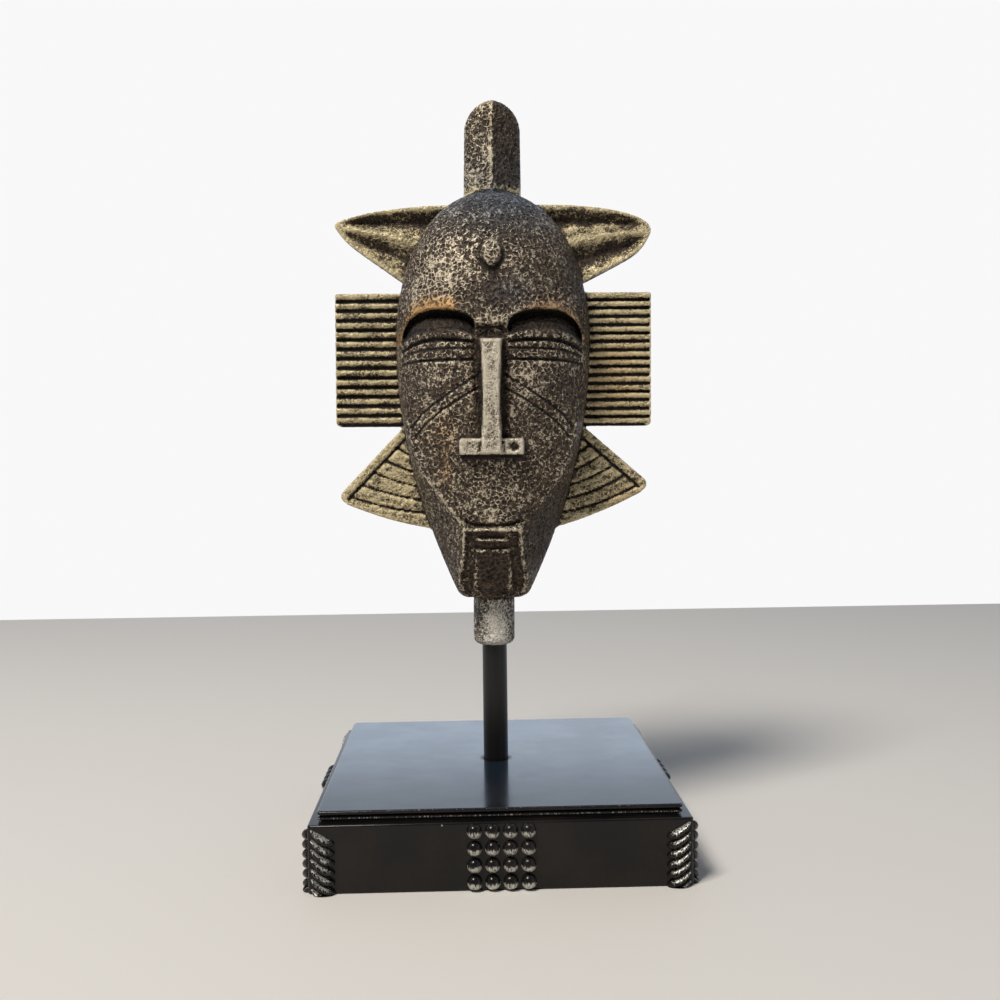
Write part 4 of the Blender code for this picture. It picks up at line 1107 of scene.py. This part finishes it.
kinds = {"fan": height < COMB_FOOT, "comb": (height >= COMB_FOOT) & (height < COMB_FOOT + COMB_HEIGHT),
         "wing": height >= COMB_FOOT + COMB_HEIGHT}
for kind, here in kinds.items():
    paint = np.where(here, mix(paint, np.where(x < 0, *SIDE_PAINT[kind]), on_side), paint)
carved = (places[:, 1] - SIDE_FRONT) / MM * on_side * (faces[:, 1] < 0.3) * (places[:, 1] < 5 * MM)
# Painted shade with dark patina: the carved lines and the wing valleys are darker the deeper they are cut.
carved_lines_and_shade = mix(smooth(0.5, 1.5, carved), WING_VALLEY_SHADE * smooth(1.8, 4.0, carved), on_wing)
dark_lines_and_shade = np.maximum(dark_lines_and_shade, carved_lines_and_shade)
wing_relief = WING_RIDGE_PAINT * smooth(0.9, 0.3, carved) + WING_VALLEY_PAINT * smooth(1.2, 3.6, carved)
paint += on_wing * wing_relief
# Painted shade on the faces of the side pieces that look down, lighter on the wings.
underside_shade = on_side * smooth(-0.25, -0.6, faces[:, 2]) * (carved > 1.0) * (1 - (1 - WING_SHADOW) * on_wing)
dark_lines_and_shade = np.maximum(dark_lines_and_shade, underside_shade)
from_behind = (places[:, 1] > 1 * MM) & (on_wing * carved <= 0)
paint = np.where(from_behind, np.minimum(paint, BACK_PAINT), paint)
print("paint from", round(paint.min(), 2), "to", round(paint.max(), 2))

# %% Colours and shadows to keep
COPPER_SPOTS = (((-21, 180), (11, 15), 0.6), ((-20, 165), (6, 14), 0.7))
SIDE_COPPER_SPOTS = (((54, 206), (24, 32), 0.45), ((62, 150), (22, 16), 0.3))
# Where a painted reflection of the sky lies on the crown as a bluish grey sheen.
SKY_SHEEN_SPOTS = (((6, 290), (52, 34), 1.2), ((8, 240), (20, 12), 0.4))
BROW_COPPER = 1.1
CALM_NOSE, CALM_SIDE, CALM_COLLAR = 0.55, 0.50, 0.50  # how much weaker the pattern is on each of them
CALM_EDGE = 0.6  # the same for the hammering on sharp edges and in deep hollows


def store(obj, name, values):
    made = obj.data.attributes.new(name, "FLOAT", "POINT")
    made.data.foreach_set("value", values.astype(np.float32))


net = 1 - CALM_NOSE * on_nose - CALM_SIDE * on_side - CALM_COLLAR * on_collar
hammer = net * (1 - CALM_EDGE * smooth(0.25, 0.7, convex))
hammer *= 1 - CALM_EDGE * smooth(0.6, 2.4, hollow)
# Painted shade with the dark patina: concave places and broad hollows are made darker.
depths = smooth(-0.06, -0.34, convex) + smooth(0.9, 3.2, hollow)
copper = np.clip(BROW_COPPER * brow + spots(COPPER_SPOTS), 0, 1) * (1 - on_side)
# Painted reflection of the sky on the crown, weaker on the crest.
sky_sheen = np.clip(spots(SKY_SHEEN_SPOTS), 0, 1) * (1 - on_side) * (1 - 0.7 * on_crest)
store(casting, "hammer", np.clip(hammer, 0.1, 1) * ~in_bore)
store(casting, "net", net)
store(casting, "paint", np.where(in_bore, 0, paint))
store(casting, "wear", np.clip(convex, -1, 1))
# The stored shade is painted shade together with the dark engraved lines: the higher it is, the darker the
# finish is left.
store(casting, "shade", np.clip(depths * (1 - 0.85 * on_wing) + dark_lines_and_shade, 0, 1))
store(casting, "gilt", np.clip(on_side + 0.3 * on_nose + 0.4 * on_crest, 0, 1))
store(casting, "silvered", np.clip(on_collar + 0.45 * on_nose, 0, 1))
store(casting, "copper", copper + on_side * spots(SIDE_COPPER_SPOTS))
store(casting, "sky_sheen", sky_sheen)
print("attributes", len(casting.data.attributes))

# %% [markdown]
# ## Hammering
#
# A Geometry Nodes modifier pushes the points along their normals by the pattern, less on the nose, the
# collar and the side pieces, and not at all in the bore. Real relief catches the light from every side,
# which bump alone doesn't. The place of each point before it moves is stored on the mesh, so that the
# finish reads the pattern at the same place.

# %% Hammering with Geometry Nodes
RELIEF = 0.42 * MM
EVEN_LEVEL = 0.75  # height of the pattern that stays where it is

tree = bpy.data.node_groups.new("hammering", "GeometryNodeTree")
tree.interface.new_socket("Geometry", in_out="INPUT", socket_type="NodeSocketGeometry")
tree.interface.new_socket("Geometry", in_out="OUTPUT", socket_type="NodeSocketGeometry")
source = tree.nodes.new("NodeGroupInput").outputs[0]
place = tree.nodes.new("GeometryNodeInputPosition").outputs[0]
inputs = {"Geometry": source, "Name": "cast_place", "Value": place}
kept = node(tree, "GeometryNodeStoreNamedAttribute", inputs, data_type="FLOAT_VECTOR", domain="POINT")
strength = node(tree, "GeometryNodeInputNamedAttribute", {"Name": "hammer"}, data_type="FLOAT")
swell = minus(tree, lace(tree, place)[0], EVEN_LEVEL)
amount = times(tree, times(tree, swell, strength.outputs["Attribute"]), RELIEF)
outward = tree.nodes.new("GeometryNodeInputNormal").outputs[0]
offset = vector(tree, "SCALE", outward, amount)
moved = node(tree, "GeometryNodeSetPosition", {"Geometry": kept.outputs["Geometry"], "Offset": offset})
tree.links.new(moved.outputs[0], tree.nodes.new("NodeGroupOutput").inputs[0])
apply(casting, "NODES", node_group=tree)
print("hammered", triangles(casting), "triangles")

# %% [markdown]
# ## Thinning
#
# The even skin has far more faces than its relief needs. Its plain back is thinned first and then the whole
# of it. The thinning keeps the edges and ridges because it takes the flattest places first.

# %% Thin the skin
BACK_SHARE, SKIN_SHARE = 0.74, 0.625
SKIN_SMOOTHING = math.radians(60)

places, faces = points(casting), normals(casting)
group = casting.vertex_groups.new(name="plain_back")
rear = np.flatnonzero((places[:, 1] > 0.5 * MM) & (faces[:, 1] > 0.2))
group.add(rear.tolist(), 1.0, "REPLACE")
apply(casting, "DECIMATE", ratio=BACK_SHARE, vertex_group="plain_back")
casting.vertex_groups.clear()
print("back thinned", triangles(casting), "triangles")
apply(casting, "DECIMATE", ratio=SKIN_SHARE)
only(casting)
bpy.ops.object.shade_smooth_by_angle(angle=SKIN_SMOOTHING)
print("casting", triangles(casting), "triangles,", open_edges(casting), "open edges")

# %% [markdown]
# ## Dry brush
#
# A nearly dry brush leaves paint in grains: dense on the heights, broken up at the rim of a stroke. The
# same brush went over the mask in gold and over the beads and plaits of the base in silver, so the brushed
# mask is one node group with its own values in each finish.


# %% Dry brush group
def attribute(tree, name, output="Fac"):
    return node(tree, "ShaderNodeAttribute", attribute_name=name).outputs[output]


brush = bpy.data.node_groups.new("dry brush", "ShaderNodeTree")
for name, kind in (("Place", "NodeSocketVector"), ("Paint", "NodeSocketFloat"), ("Grain", "NodeSocketFloat"),
                   ("Breakup", "NodeSocketFloat"), ("Softness", "NodeSocketFloat")):
    brush.interface.new_socket(name, in_out="INPUT", socket_type=kind)
brush.interface.new_socket("Mask", in_out="OUTPUT", socket_type="NodeSocketFloat")
given = brush.nodes.new("NodeGroupInput").outputs
grain = noise(brush, given["Place"], 1.0, 3.0, 0.65)
brush.links.new(given["Grain"], grain.inputs["Scale"])
rough = times(brush, minus(brush, grain.outputs["Fac"], 0.5), given["Breakup"])
mask = ramp(brush, plus(brush, given["Paint"], rough),
            minus(brush, 0.5, given["Softness"]), plus(brush, 0.5, given["Softness"]))
brush.links.new(mask, brush.nodes.new("NodeGroupOutput").inputs[0])


def brushed(tree, place, paint, grain, breakup, softness):
    made = tree.nodes.new("ShaderNodeGroup")
    made.node_tree = brush
    for key, value in (("Place", place), ("Paint", paint)):
        tree.links.new(value, made.inputs[key])
    for key, value in (("Grain", grain), ("Breakup", breakup), ("Softness", softness)):
        made.inputs[key].default_value = value
    return made.outputs[0]


# %% [markdown]
# ## Old bronze
#
# The old bronze is nearly black in its pits. A pale gold was rubbed over the ridges and edges, warmer at
# the brows, on one cheek and on the right comb, and the crown gets a bluish grey sheen as a painted
# reflection of the sky. The paint is summed up from what the mesh remembers, from the pattern and from
# clouds and stains, and then goes through the dry brush. Where the mesh holds painted shade, the gold is
# taken away and the ground turns black.

# %% Colours and amounts of the bronze
PIT = (0.010, 0.008, 0.006, 1)
BROWN = (0.105, 0.071, 0.047, 1)
CREAM = (0.80, 0.68, 0.50, 1)
GOLD = (0.80, 0.67, 0.40, 1)
COPPER = (0.66, 0.39, 0.16, 1)
SILVER = (0.90, 0.84, 0.73, 1)
# Dark and pale colours of the painted sky reflection on the crown.
SKY_SHEEN_GROUND = (0.075, 0.082, 0.098, 1)
SKY_SHEEN_LIGHT = (0.36, 0.39, 0.43, 1)
RIDGE_PAINT, SLOPE_PAINT, EVEN_PAINT = 0.80, 0.25, 0.36
EDGE_PAINT, SHADE_PAINT = 1.3, 0.95
FULL_PAINT, PAINT_WEIGHT = 0.80, 0.9  # the amount at which every ridge is covered, and how much it counts
CLOUDS, CLOUD_SCALE = 0.6, 55.0
STAINS, STAIN_SCALE, STAIN_STRETCH = 2.2, 260.0, (0.45, 1.0, 1.0)
GOLD_GRAIN, GOLD_BREAKUP, GOLD_SOFTNESS = 1500.0, 1.7, 0.40
SPECKLE_SCALE, FINE_SPECKLE_SCALE = 720.0, 1900.0
METALLIC, ROUGHNESS = (0.15, 0.34), (0.50, 0.38)  # on the bare ground and under full paint
BUMP_DEPTH, FINE_BUMP = 0.45 * MM, 0.35

# %% Rubbed gold of the bronze
bronze = plain_material("old_bronze_patina", (0.2, 0.16, 0.1), 0.45)
tree = bronze.node_tree
shader = tree.nodes["Principled BSDF"]
shader.inputs["Specular IOR Level"].default_value = 0.3
place = attribute(tree, "cast_place", "Vector")
skin, crest_line = lace(tree, place)
broad = times(tree, minus(tree, noise(tree, place, CLOUD_SCALE, 2.0).outputs["Fac"], 0.5), CLOUDS)
stains = noise(tree, vector(tree, "MULTIPLY", place, STAIN_STRETCH), STAIN_SCALE, 4.0, 0.65).outputs["Fac"]
stains = times(tree, minus(tree, stains, 0.55), attribute(tree, "gilt"))
clouds = plus(tree, broad, times(tree, stains, STAINS))
shade, net = attribute(tree, "shade"), attribute(tree, "net")
lines = plus(tree, times(tree, crest_line, RIDGE_PAINT), times(tree, skin, SLOPE_PAINT))
terms = (
    times(tree, minus(tree, lines, EVEN_PAINT), net),
    times(tree, minus(tree, attribute(tree, "paint"), FULL_PAINT), PAINT_WEIGHT),
    times(tree, attribute(tree, "wear"), EDGE_PAINT),
    times(tree, shade, -SHADE_PAINT),
)
paint = plus(tree, clouds, EVEN_PAINT)
for term in terms:
    paint = plus(tree, paint, term)
rubbed = brushed(tree, place, paint, GOLD_GRAIN, GOLD_BREAKUP, GOLD_SOFTNESS)

# %% Colour, gloss and bump of the bronze
speckle = ramp(tree, noise(tree, place, SPECKLE_SCALE, 3.0, 0.65).outputs["Fac"], 0.34, 0.62)
ground = colour_mix(tree, speckle, PIT, BROWN)
# Painted reflection of the sky: the crown's ground and rubbed paint turn bluish.
ground = colour_mix(tree, attribute(tree, "sky_sheen"), ground, colour_mix(tree, speckle, PIT, SKY_SHEEN_GROUND))
# Painted shade: the stored shade turns the ground to the black of the pits, as do the dark lines.
ground = colour_mix(tree, shade, ground, PIT)
light = colour_mix(tree, attribute(tree, "gilt"), CREAM, GOLD)
for name, colour in (("copper", COPPER), ("silvered", SILVER), ("sky_sheen", SKY_SHEEN_LIGHT)):
    light = colour_mix(tree, attribute(tree, name), light, colour)
tree.links.new(colour_mix(tree, rubbed, ground, light), shader.inputs["Base Color"])
tree.links.new(ramp(tree, rubbed, 0, 1, *METALLIC), shader.inputs["Metallic"])
tree.links.new(ramp(tree, rubbed, 0, 1, *ROUGHNESS), shader.inputs["Roughness"])
fine = noise(tree, place, FINE_SPECKLE_SCALE, 2.0).outputs["Fac"]
tall = plus(tree, skin, times(tree, fine, FINE_BUMP))
bump = node(tree, "ShaderNodeBump", {"Strength": 1.0, "Distance": BUMP_DEPTH, "Height": tall})
tree.links.new(bump.outputs["Normal"], shader.inputs["Normal"])
casting.data.materials.clear()
casting.data.materials.append(bronze)
print("bronze", len(tree.nodes), "nodes")

# %% [markdown]
# ## Pose of the mask
#
# The real mask is fixed a little askew on its rod. It is turned and tilted about the middle of its bore,
# and the turn goes into the mesh, so that the object itself stays at the origin.

# %% Pose
MASK_LEAN, MASK_TURN = math.radians(0.45), math.radians(-2.5)
pivot = Vector((0, 0, COLLAR_FOOT + COLLAR_SOCKET / 2))
pose = Matrix.Rotation(MASK_TURN, 4, "Z") @ Matrix.Rotation(MASK_LEAN, 4, "Y")
casting.data.transform(Matrix.Translation(pivot) @ pose @ Matrix.Translation(-pivot))
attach(casting, "root")
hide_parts("mask")

# %% [markdown]
# ## Body of the base
#
# The base is one block of gloss black lacquer with softened edges. A cube gets its upright corners rounded
# first and then its top and bottom edges, each with a bevel in edit mode.

# %% Body of the base
BODY_SIDE = 152 * MM
BODY_HEIGHT = 27.3 * MM
BODY_CORNER, BODY_EDGE = 1.6 * MM, 0.8 * MM


def square_block(name, side, low, high, corner, segments):
    middle, scale = (0, 0, (low + high) / 2), (side, side, high - low)
    bpy.ops.mesh.primitive_cube_add(size=1, location=middle, scale=scale)
    made = named(name)
    bpy.ops.object.transform_apply(location=True, scale=True)
    select_edges(made, lambda a, b: abs(a.z - b.z) > (high - low) / 2)
    bpy.ops.mesh.bevel(offset=corner, segments=segments)
    bpy.ops.object.mode_set(mode="OBJECT")
    return made


body = square_block("body", BODY_SIDE, 0, BODY_HEIGHT, BODY_CORNER, 4)
select_edges(body, lambda a, b: abs(a.z - b.z) < 0.1 * MM)
bpy.ops.mesh.bevel(offset=BODY_EDGE, segments=4)
bpy.ops.object.mode_set(mode="OBJECT")
print("body", len(body.data.vertices), "points")

# %% [markdown]
# ## Moulded plate
#
# The plate on the body has a moulded edge of grooves and rolls all round. A profile could be swept along
# the square, but it is simpler to extrude the top level by level and to draw each level in or let it out.

# %% Plate with its moulding
PLATE_SIDE, PLATE_CORNER = 145.2 * MM, 1.5 * MM
PLATE_HEIGHT = BASE_TOP - BODY_HEIGHT
PLATE_SINK = 2 * MM  # how deep the plate's foot lies in the body
PLATE_GROOVE = 1.3 * MM
LEVELS = 26
# Share of the plate's height, and how far the moulding is drawn in there as a share of the groove
MOULDING = ((0.0, 0.9), (0.1, 1.0), (0.27, 0.1), (0.42, 0.1),
            (0.53, 1.0), (0.67, 0.1), (0.87, 0.0), (1.0, 0.5))

before = MOULDING[0][1]
foot_side = PLATE_SIDE - 2 * PLATE_GROOVE * before
plate = square_block("plate", foot_side, BODY_HEIGHT - PLATE_SINK, BODY_HEIGHT, PLATE_CORNER, 10)
only(plate)
bpy.ops.object.mode_set(mode="EDIT")
bpy.ops.mesh.select_mode(type="FACE")
bpy.ops.mesh.select_all(action="DESELECT")
bpy.ops.object.mode_set(mode="OBJECT")
for face in plate.data.polygons:
    face.select = face.normal.z > 0.9
bpy.ops.object.mode_set(mode="EDIT")
half = PLATE_SIDE / 2
for level in range(1, LEVELS + 1):
    inset = float(np.interp(level / LEVELS, *zip(*MOULDING)))
    bpy.ops.mesh.extrude_region_move(TRANSFORM_OT_translate={"value": (0, 0, PLATE_HEIGHT / LEVELS)})
    grow = (half - inset * PLATE_GROOVE) / (half - before * PLATE_GROOVE)
    bpy.ops.transform.resize(value=(grow, grow, 1), center_override=(0, 0, BODY_HEIGHT))
    before = inset
bpy.ops.object.mode_set(mode="OBJECT")
print("plate top at", round(max(v.co.z for v in plate.data.vertices) / MM, 2), "mm")

# %% [markdown]
# ## Beads and plaited corners
#
# Four rows of four round beads sit in the middle of each side, and a plait of seven strands runs down each
# corner. One bead and one strand are modelled as balls and copied to all sides, each copy pressed to its
# own shape. Each ball already holds how much silver the brush left on it, so the copies carry that with
# them.

# %% Helpers for the ornament
BEAD_ROWS = BEAD_COLUMNS = 4
BEAD_RADIUS, BEAD_STAND, BEAD_PITCH = 3.1 * MM, 2.9 * MM, 7.1 * MM
BEAD_EDGE_GAP = 0.4 * MM
STRANDS = 7
STRAND_REACH, STRAND_DROP, STRAND_THICK, STRAND_STAND = 9.6 * MM, 5.2 * MM, 3.7 * MM, 2.8 * MM
STRAND_SINK, STRAND_LIFT = 1.2 * MM, 0.3 * MM
BEAD_SILVER, STRAND_SILVER = 0.66, 0.56


def blob(name, segments, rings, silver_mask):
    """A unit ball that holds how much silver the brush left on each point."""
    bpy.ops.mesh.primitive_uv_sphere_add(segments=segments, ring_count=rings, radius=1)
    made = named(name)
    store(made, "brush", silver_mask(*points(made).T))
    return made


def turned_side(turn, along, height, stand):
    """A point on one of the four sides of the base."""
    x, y = along, -BODY_SIDE / 2 - stand
    for _ in range(turn):
        x, y = -y, x
    return np.stack([x, y, height], 1)


def copy_of(model, places):
    made = bpy.data.objects.new(model.name, model.data.copy())
    bpy.context.scene.collection.objects.link(made)
    set_points(made, places)
    return made


# %% Beads
def bead_silver(x, y, z):
    return smooth(0.25, -0.25, y) * smooth(-1.0, -0.7, y) * (z > 0) * BEAD_SILVER


bead = blob("bead", 20, 10, bead_silver)
ball = points(bead)
row_pitch = (BODY_HEIGHT - 2 * BEAD_EDGE_GAP - 2 * BEAD_RADIUS) / (BEAD_ROWS - 1)
ornaments = []
for turn in range(4):
    for row in range(BEAD_ROWS):
        for column in range(BEAD_COLUMNS):
            along = (column - (BEAD_COLUMNS - 1) / 2) * BEAD_PITCH + ball[:, 0] * BEAD_RADIUS
            height = BEAD_EDGE_GAP + BEAD_RADIUS * (1 + ball[:, 1]) + row * row_pitch
            ornaments.append(copy_of(bead, turned_side(turn, along, height, ball[:, 2] * BEAD_STAND)))
bpy.data.objects.remove(bead)
print("beads", len(ornaments))


# %% Strands
def strand_silver(x, y, z):
    return smooth(-0.5, 0.6, x) * smooth(1.0, 0.2, z) * (y > -0.2) * STRAND_SILVER


strand = blob("strand", 16, 14, strand_silver)
ball = points(strand)
first = BODY_HEIGHT - STRAND_THICK / 2
strand_pitch = (first - STRAND_LIFT - STRAND_THICK / 2) / (STRANDS - 1)
for turn in range(4):
    for hand in (-1, 1):
        for index in range(STRANDS):
            share = (ball[:, 2] + 1) / 2
            fall = STRAND_DROP * (1 - (1 - share) ** 2)
            along = hand * (BODY_SIDE / 2 - STRAND_SINK - STRAND_REACH * share)
            height = first - index * strand_pitch - fall + ball[:, 0] * STRAND_THICK / 2
            height = np.maximum(height, STRAND_LIFT)
            ornaments.append(copy_of(strand, turned_side(turn, along, height, ball[:, 1] * STRAND_STAND)))
bpy.data.objects.remove(strand)
print("beads and strands", len(ornaments))

# %% [markdown]
# ## One base
#
# The body and the plate become one block by a boolean, a bore takes the rod's foot, and the ornament is
# joined on. The ornament's balls are sunk into the block by half, as moulded ornament grows out of its
# ground.

# %% Join the base and bore its socket
SOCKET_DEPTH = 20.0 * MM
BASE_SMOOTHING = math.radians(31)
# Level of each roll of the moulding that the brush touched, its width and how much silver it took
ROLL_SILVER = ((0.35, 0.09, 0.24), (0.93, 0.06, 0.16))

store(body, "brush", np.zeros(len(body.data.vertices)))
levels = (points(plate)[:, 2] - BODY_HEIGHT) / PLATE_HEIGHT
touched = sum(most * np.exp(-((levels - level) / width) ** 2) for level, width, most in ROLL_SILVER)
store(plate, "brush", touched)
apply(body, "BOOLEAN", operation="UNION", solver="MANIFOLD", object=plate)
bore = bore_cylinder(BASE_TOP, 2 * SOCKET_DEPTH)
apply(body, "BOOLEAN", operation="DIFFERENCE", solver="MANIFOLD", object=bore)
for guide in (plate, bore):
    bpy.data.objects.remove(guide)
base = joined([body, *ornaments], "lacquered_base")
faces_out(base)
bpy.ops.object.shade_smooth_by_angle(angle=BASE_SMOOTHING)
print("base", triangles(base), "triangles")

# %% [markdown]
# ## Black lacquer
#
# The lacquer is black and glossy, with a little dust. Only the plate's top was polished until it mirrors
# the sky, most of all towards the back, and a dull ring is left round the rod. The mirror is the shader's
# coat, and the top's colour is also tinted blue as a painted reflection of the sky. Silver was rubbed over
# the beads, the strands and the rolls of the moulding in streaks.

# %% Colours and amounts of the lacquer
LACQUER, WORN_LACQUER = (0.006, 0.005, 0.005, 1), (0.015, 0.011, 0.009, 1)
# The plate's top colour is tinted blue as a painted reflection of the sky.
TOP_SKY_TINT = (0.012, 0.022, 0.036, 1)
DUST, RUBBED_SILVER = (0.35, 0.34, 0.32, 1), (0.62, 0.60, 0.54, 1)
DUST_SCALE, DUST_SHARE = 130.0, 0.80  # dust grains to a metre, and the share of them that is left out
STREAKS = (1.0, 1.0, 0.25)
SILVER_GRAIN, SILVER_BREAKUP, SILVER_SOFTNESS = 1700.0, 2.4, 0.22
DULL_RING = (0.8 * MM, 2.5 * MM)  # from the rod's surface
FRONT_POLISH, LEAST_POLISH = 0.30, 0.82  # share of the polish at the front edge and in its cloudy spots
CLOUDY_SCALE, SMEAR_SCALE, WAVE_SCALE = 30.0, 38.0, 85.0

lacquer = plain_material("black_lacquer_gloss", (0.008, 0.008, 0.009), 0.2)
tree = lacquer.node_tree
shader = tree.nodes["Principled BSDF"]
shader.inputs["IOR"].default_value = 1.36
shader.inputs["Coat IOR"].default_value = 1.80
shader.inputs["Coat Roughness"].default_value = 0.10
shader.inputs["Coat Tint"].default_value = (0.94, 0.97, 1.0, 1)

# %% Polish of the plate's top
place = node(tree, "ShaderNodeTexCoord").outputs["Object"]
axes = node(tree, "ShaderNodeSeparateXYZ", {0: place}).outputs
on_top = ramp(tree, axes["Z"], BASE_TOP - 0.6 * MM, BASE_TOP - 0.2 * MM)
polish = ramp(tree, axes["Y"], -PLATE_SIDE / 2, PLATE_SIDE / 4, FRONT_POLISH, 1.0)
cloudy = ramp(tree, noise(tree, place, CLOUDY_SCALE, 3.0, 0.6).outputs["Fac"], 0.35, 0.65, LEAST_POLISH, 1.0)
from_rod = vector(tree, "MULTIPLY", place, (1.0, 1.0, 0.0))
from_rod = node(tree, "ShaderNodeVectorMath", {0: from_rod}, operation="LENGTH").outputs["Value"]
clear = ramp(tree, from_rod, ROD_RADIUS + DULL_RING[0], ROD_RADIUS + DULL_RING[1])
for share in (polish, cloudy, clear):
    on_top = times(tree, on_top, share)
tree.links.new(on_top, shader.inputs["Coat Weight"])

# %% Silver and dust on the lacquer
streaks = vector(tree, "MULTIPLY", place, STREAKS)
silver = brushed(tree, streaks, attribute(tree, "brush"), SILVER_GRAIN, SILVER_BREAKUP, SILVER_SOFTNESS)
silver = times(tree, silver, ramp(tree, attribute(tree, "brush"), 0.05, 0.25))
specks = node(tree, "ShaderNodeTexVoronoi", {"Vector": place, "Scale": DUST_SCALE})
near_speck = ramp(tree, specks.outputs["Distance"], 0.03, 0.06, 1.0, 0.0)
chance = node(tree, "ShaderNodeSeparateColor", {0: specks.outputs["Color"]}).outputs[0]
dust = times(tree, near_speck, ramp(tree, chance, DUST_SHARE, DUST_SHARE + 0.02))
smear = noise(tree, place, SMEAR_SCALE, 3.0, 0.6).outputs["Fac"]
colour = colour_mix(tree, ramp(tree, smear, 0.35, 0.75), LACQUER, WORN_LACQUER)
# On the polished top the colour turns blue as a painted reflection of the sky, most towards the back.
for share, paint in ((on_top, TOP_SKY_TINT), (dust, DUST), (silver, RUBBED_SILVER)):
    colour = colour_mix(tree, share, colour, paint)
tree.links.new(colour, shader.inputs["Base Color"])
tree.links.new(times(tree, silver, 0.6), shader.inputs["Metallic"])

# %% Gloss and bump of the lacquer
gloss = ramp(tree, smear, 0.3, 0.8, 0.14, 0.26)
gloss = node(tree, "ShaderNodeMix", {"Factor": silver, 2: gloss, 3: 0.45}, data_type="FLOAT").outputs[0]
tree.links.new(gloss, shader.inputs["Roughness"])
wavy = noise(tree, place, WAVE_SCALE, 2.0).outputs["Fac"]
scratch = plus(tree, wavy, times(tree, silver, 0.25))
bump = node(tree, "ShaderNodeBump", {"Strength": 0.35, "Distance": 0.3 * MM, "Height": scratch})
tree.links.new(bump.outputs["Normal"], shader.inputs["Normal"])
base.data.materials.clear()
base.data.materials.append(lacquer)
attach(base, "root")
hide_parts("base")
print("lacquer", len(tree.nodes), "nodes")

# %% [markdown]
# ## Rod
#
# The rod is a plain round bar in satin black paint, with a small chamfer at each end. It is a cylinder
# whose two end rims are bevelled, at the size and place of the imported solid.

# %% Rod
ROD_CHAMFER = 0.8 * MM
ROD_SMOOTHING = math.radians(40)

low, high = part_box("rod")
bpy.ops.mesh.primitive_cylinder_add(vertices=72, radius=ROD_RADIUS, depth=high.z - low.z,
                                    location=(0, 0, (low.z + high.z) / 2))
rod = named("steel_rod")
bpy.ops.object.transform_apply(location=True)
select_edges(rod, lambda a, b: abs(a.z - b.z) < MM)
bpy.ops.mesh.bevel(offset=ROD_CHAMFER, segments=3)
bpy.ops.object.mode_set(mode="OBJECT")
bpy.ops.object.shade_smooth_by_angle(angle=ROD_SMOOTHING)
steel = plain_material("satin_black_steel", (0.012, 0.011, 0.010), 0.34)
steel.node_tree.nodes["Principled BSDF"].inputs["Metallic"].default_value = 0.3
rod.data.materials.append(steel)
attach(rod, "root")
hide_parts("rod")
print("rod", triangles(rod), "triangles")
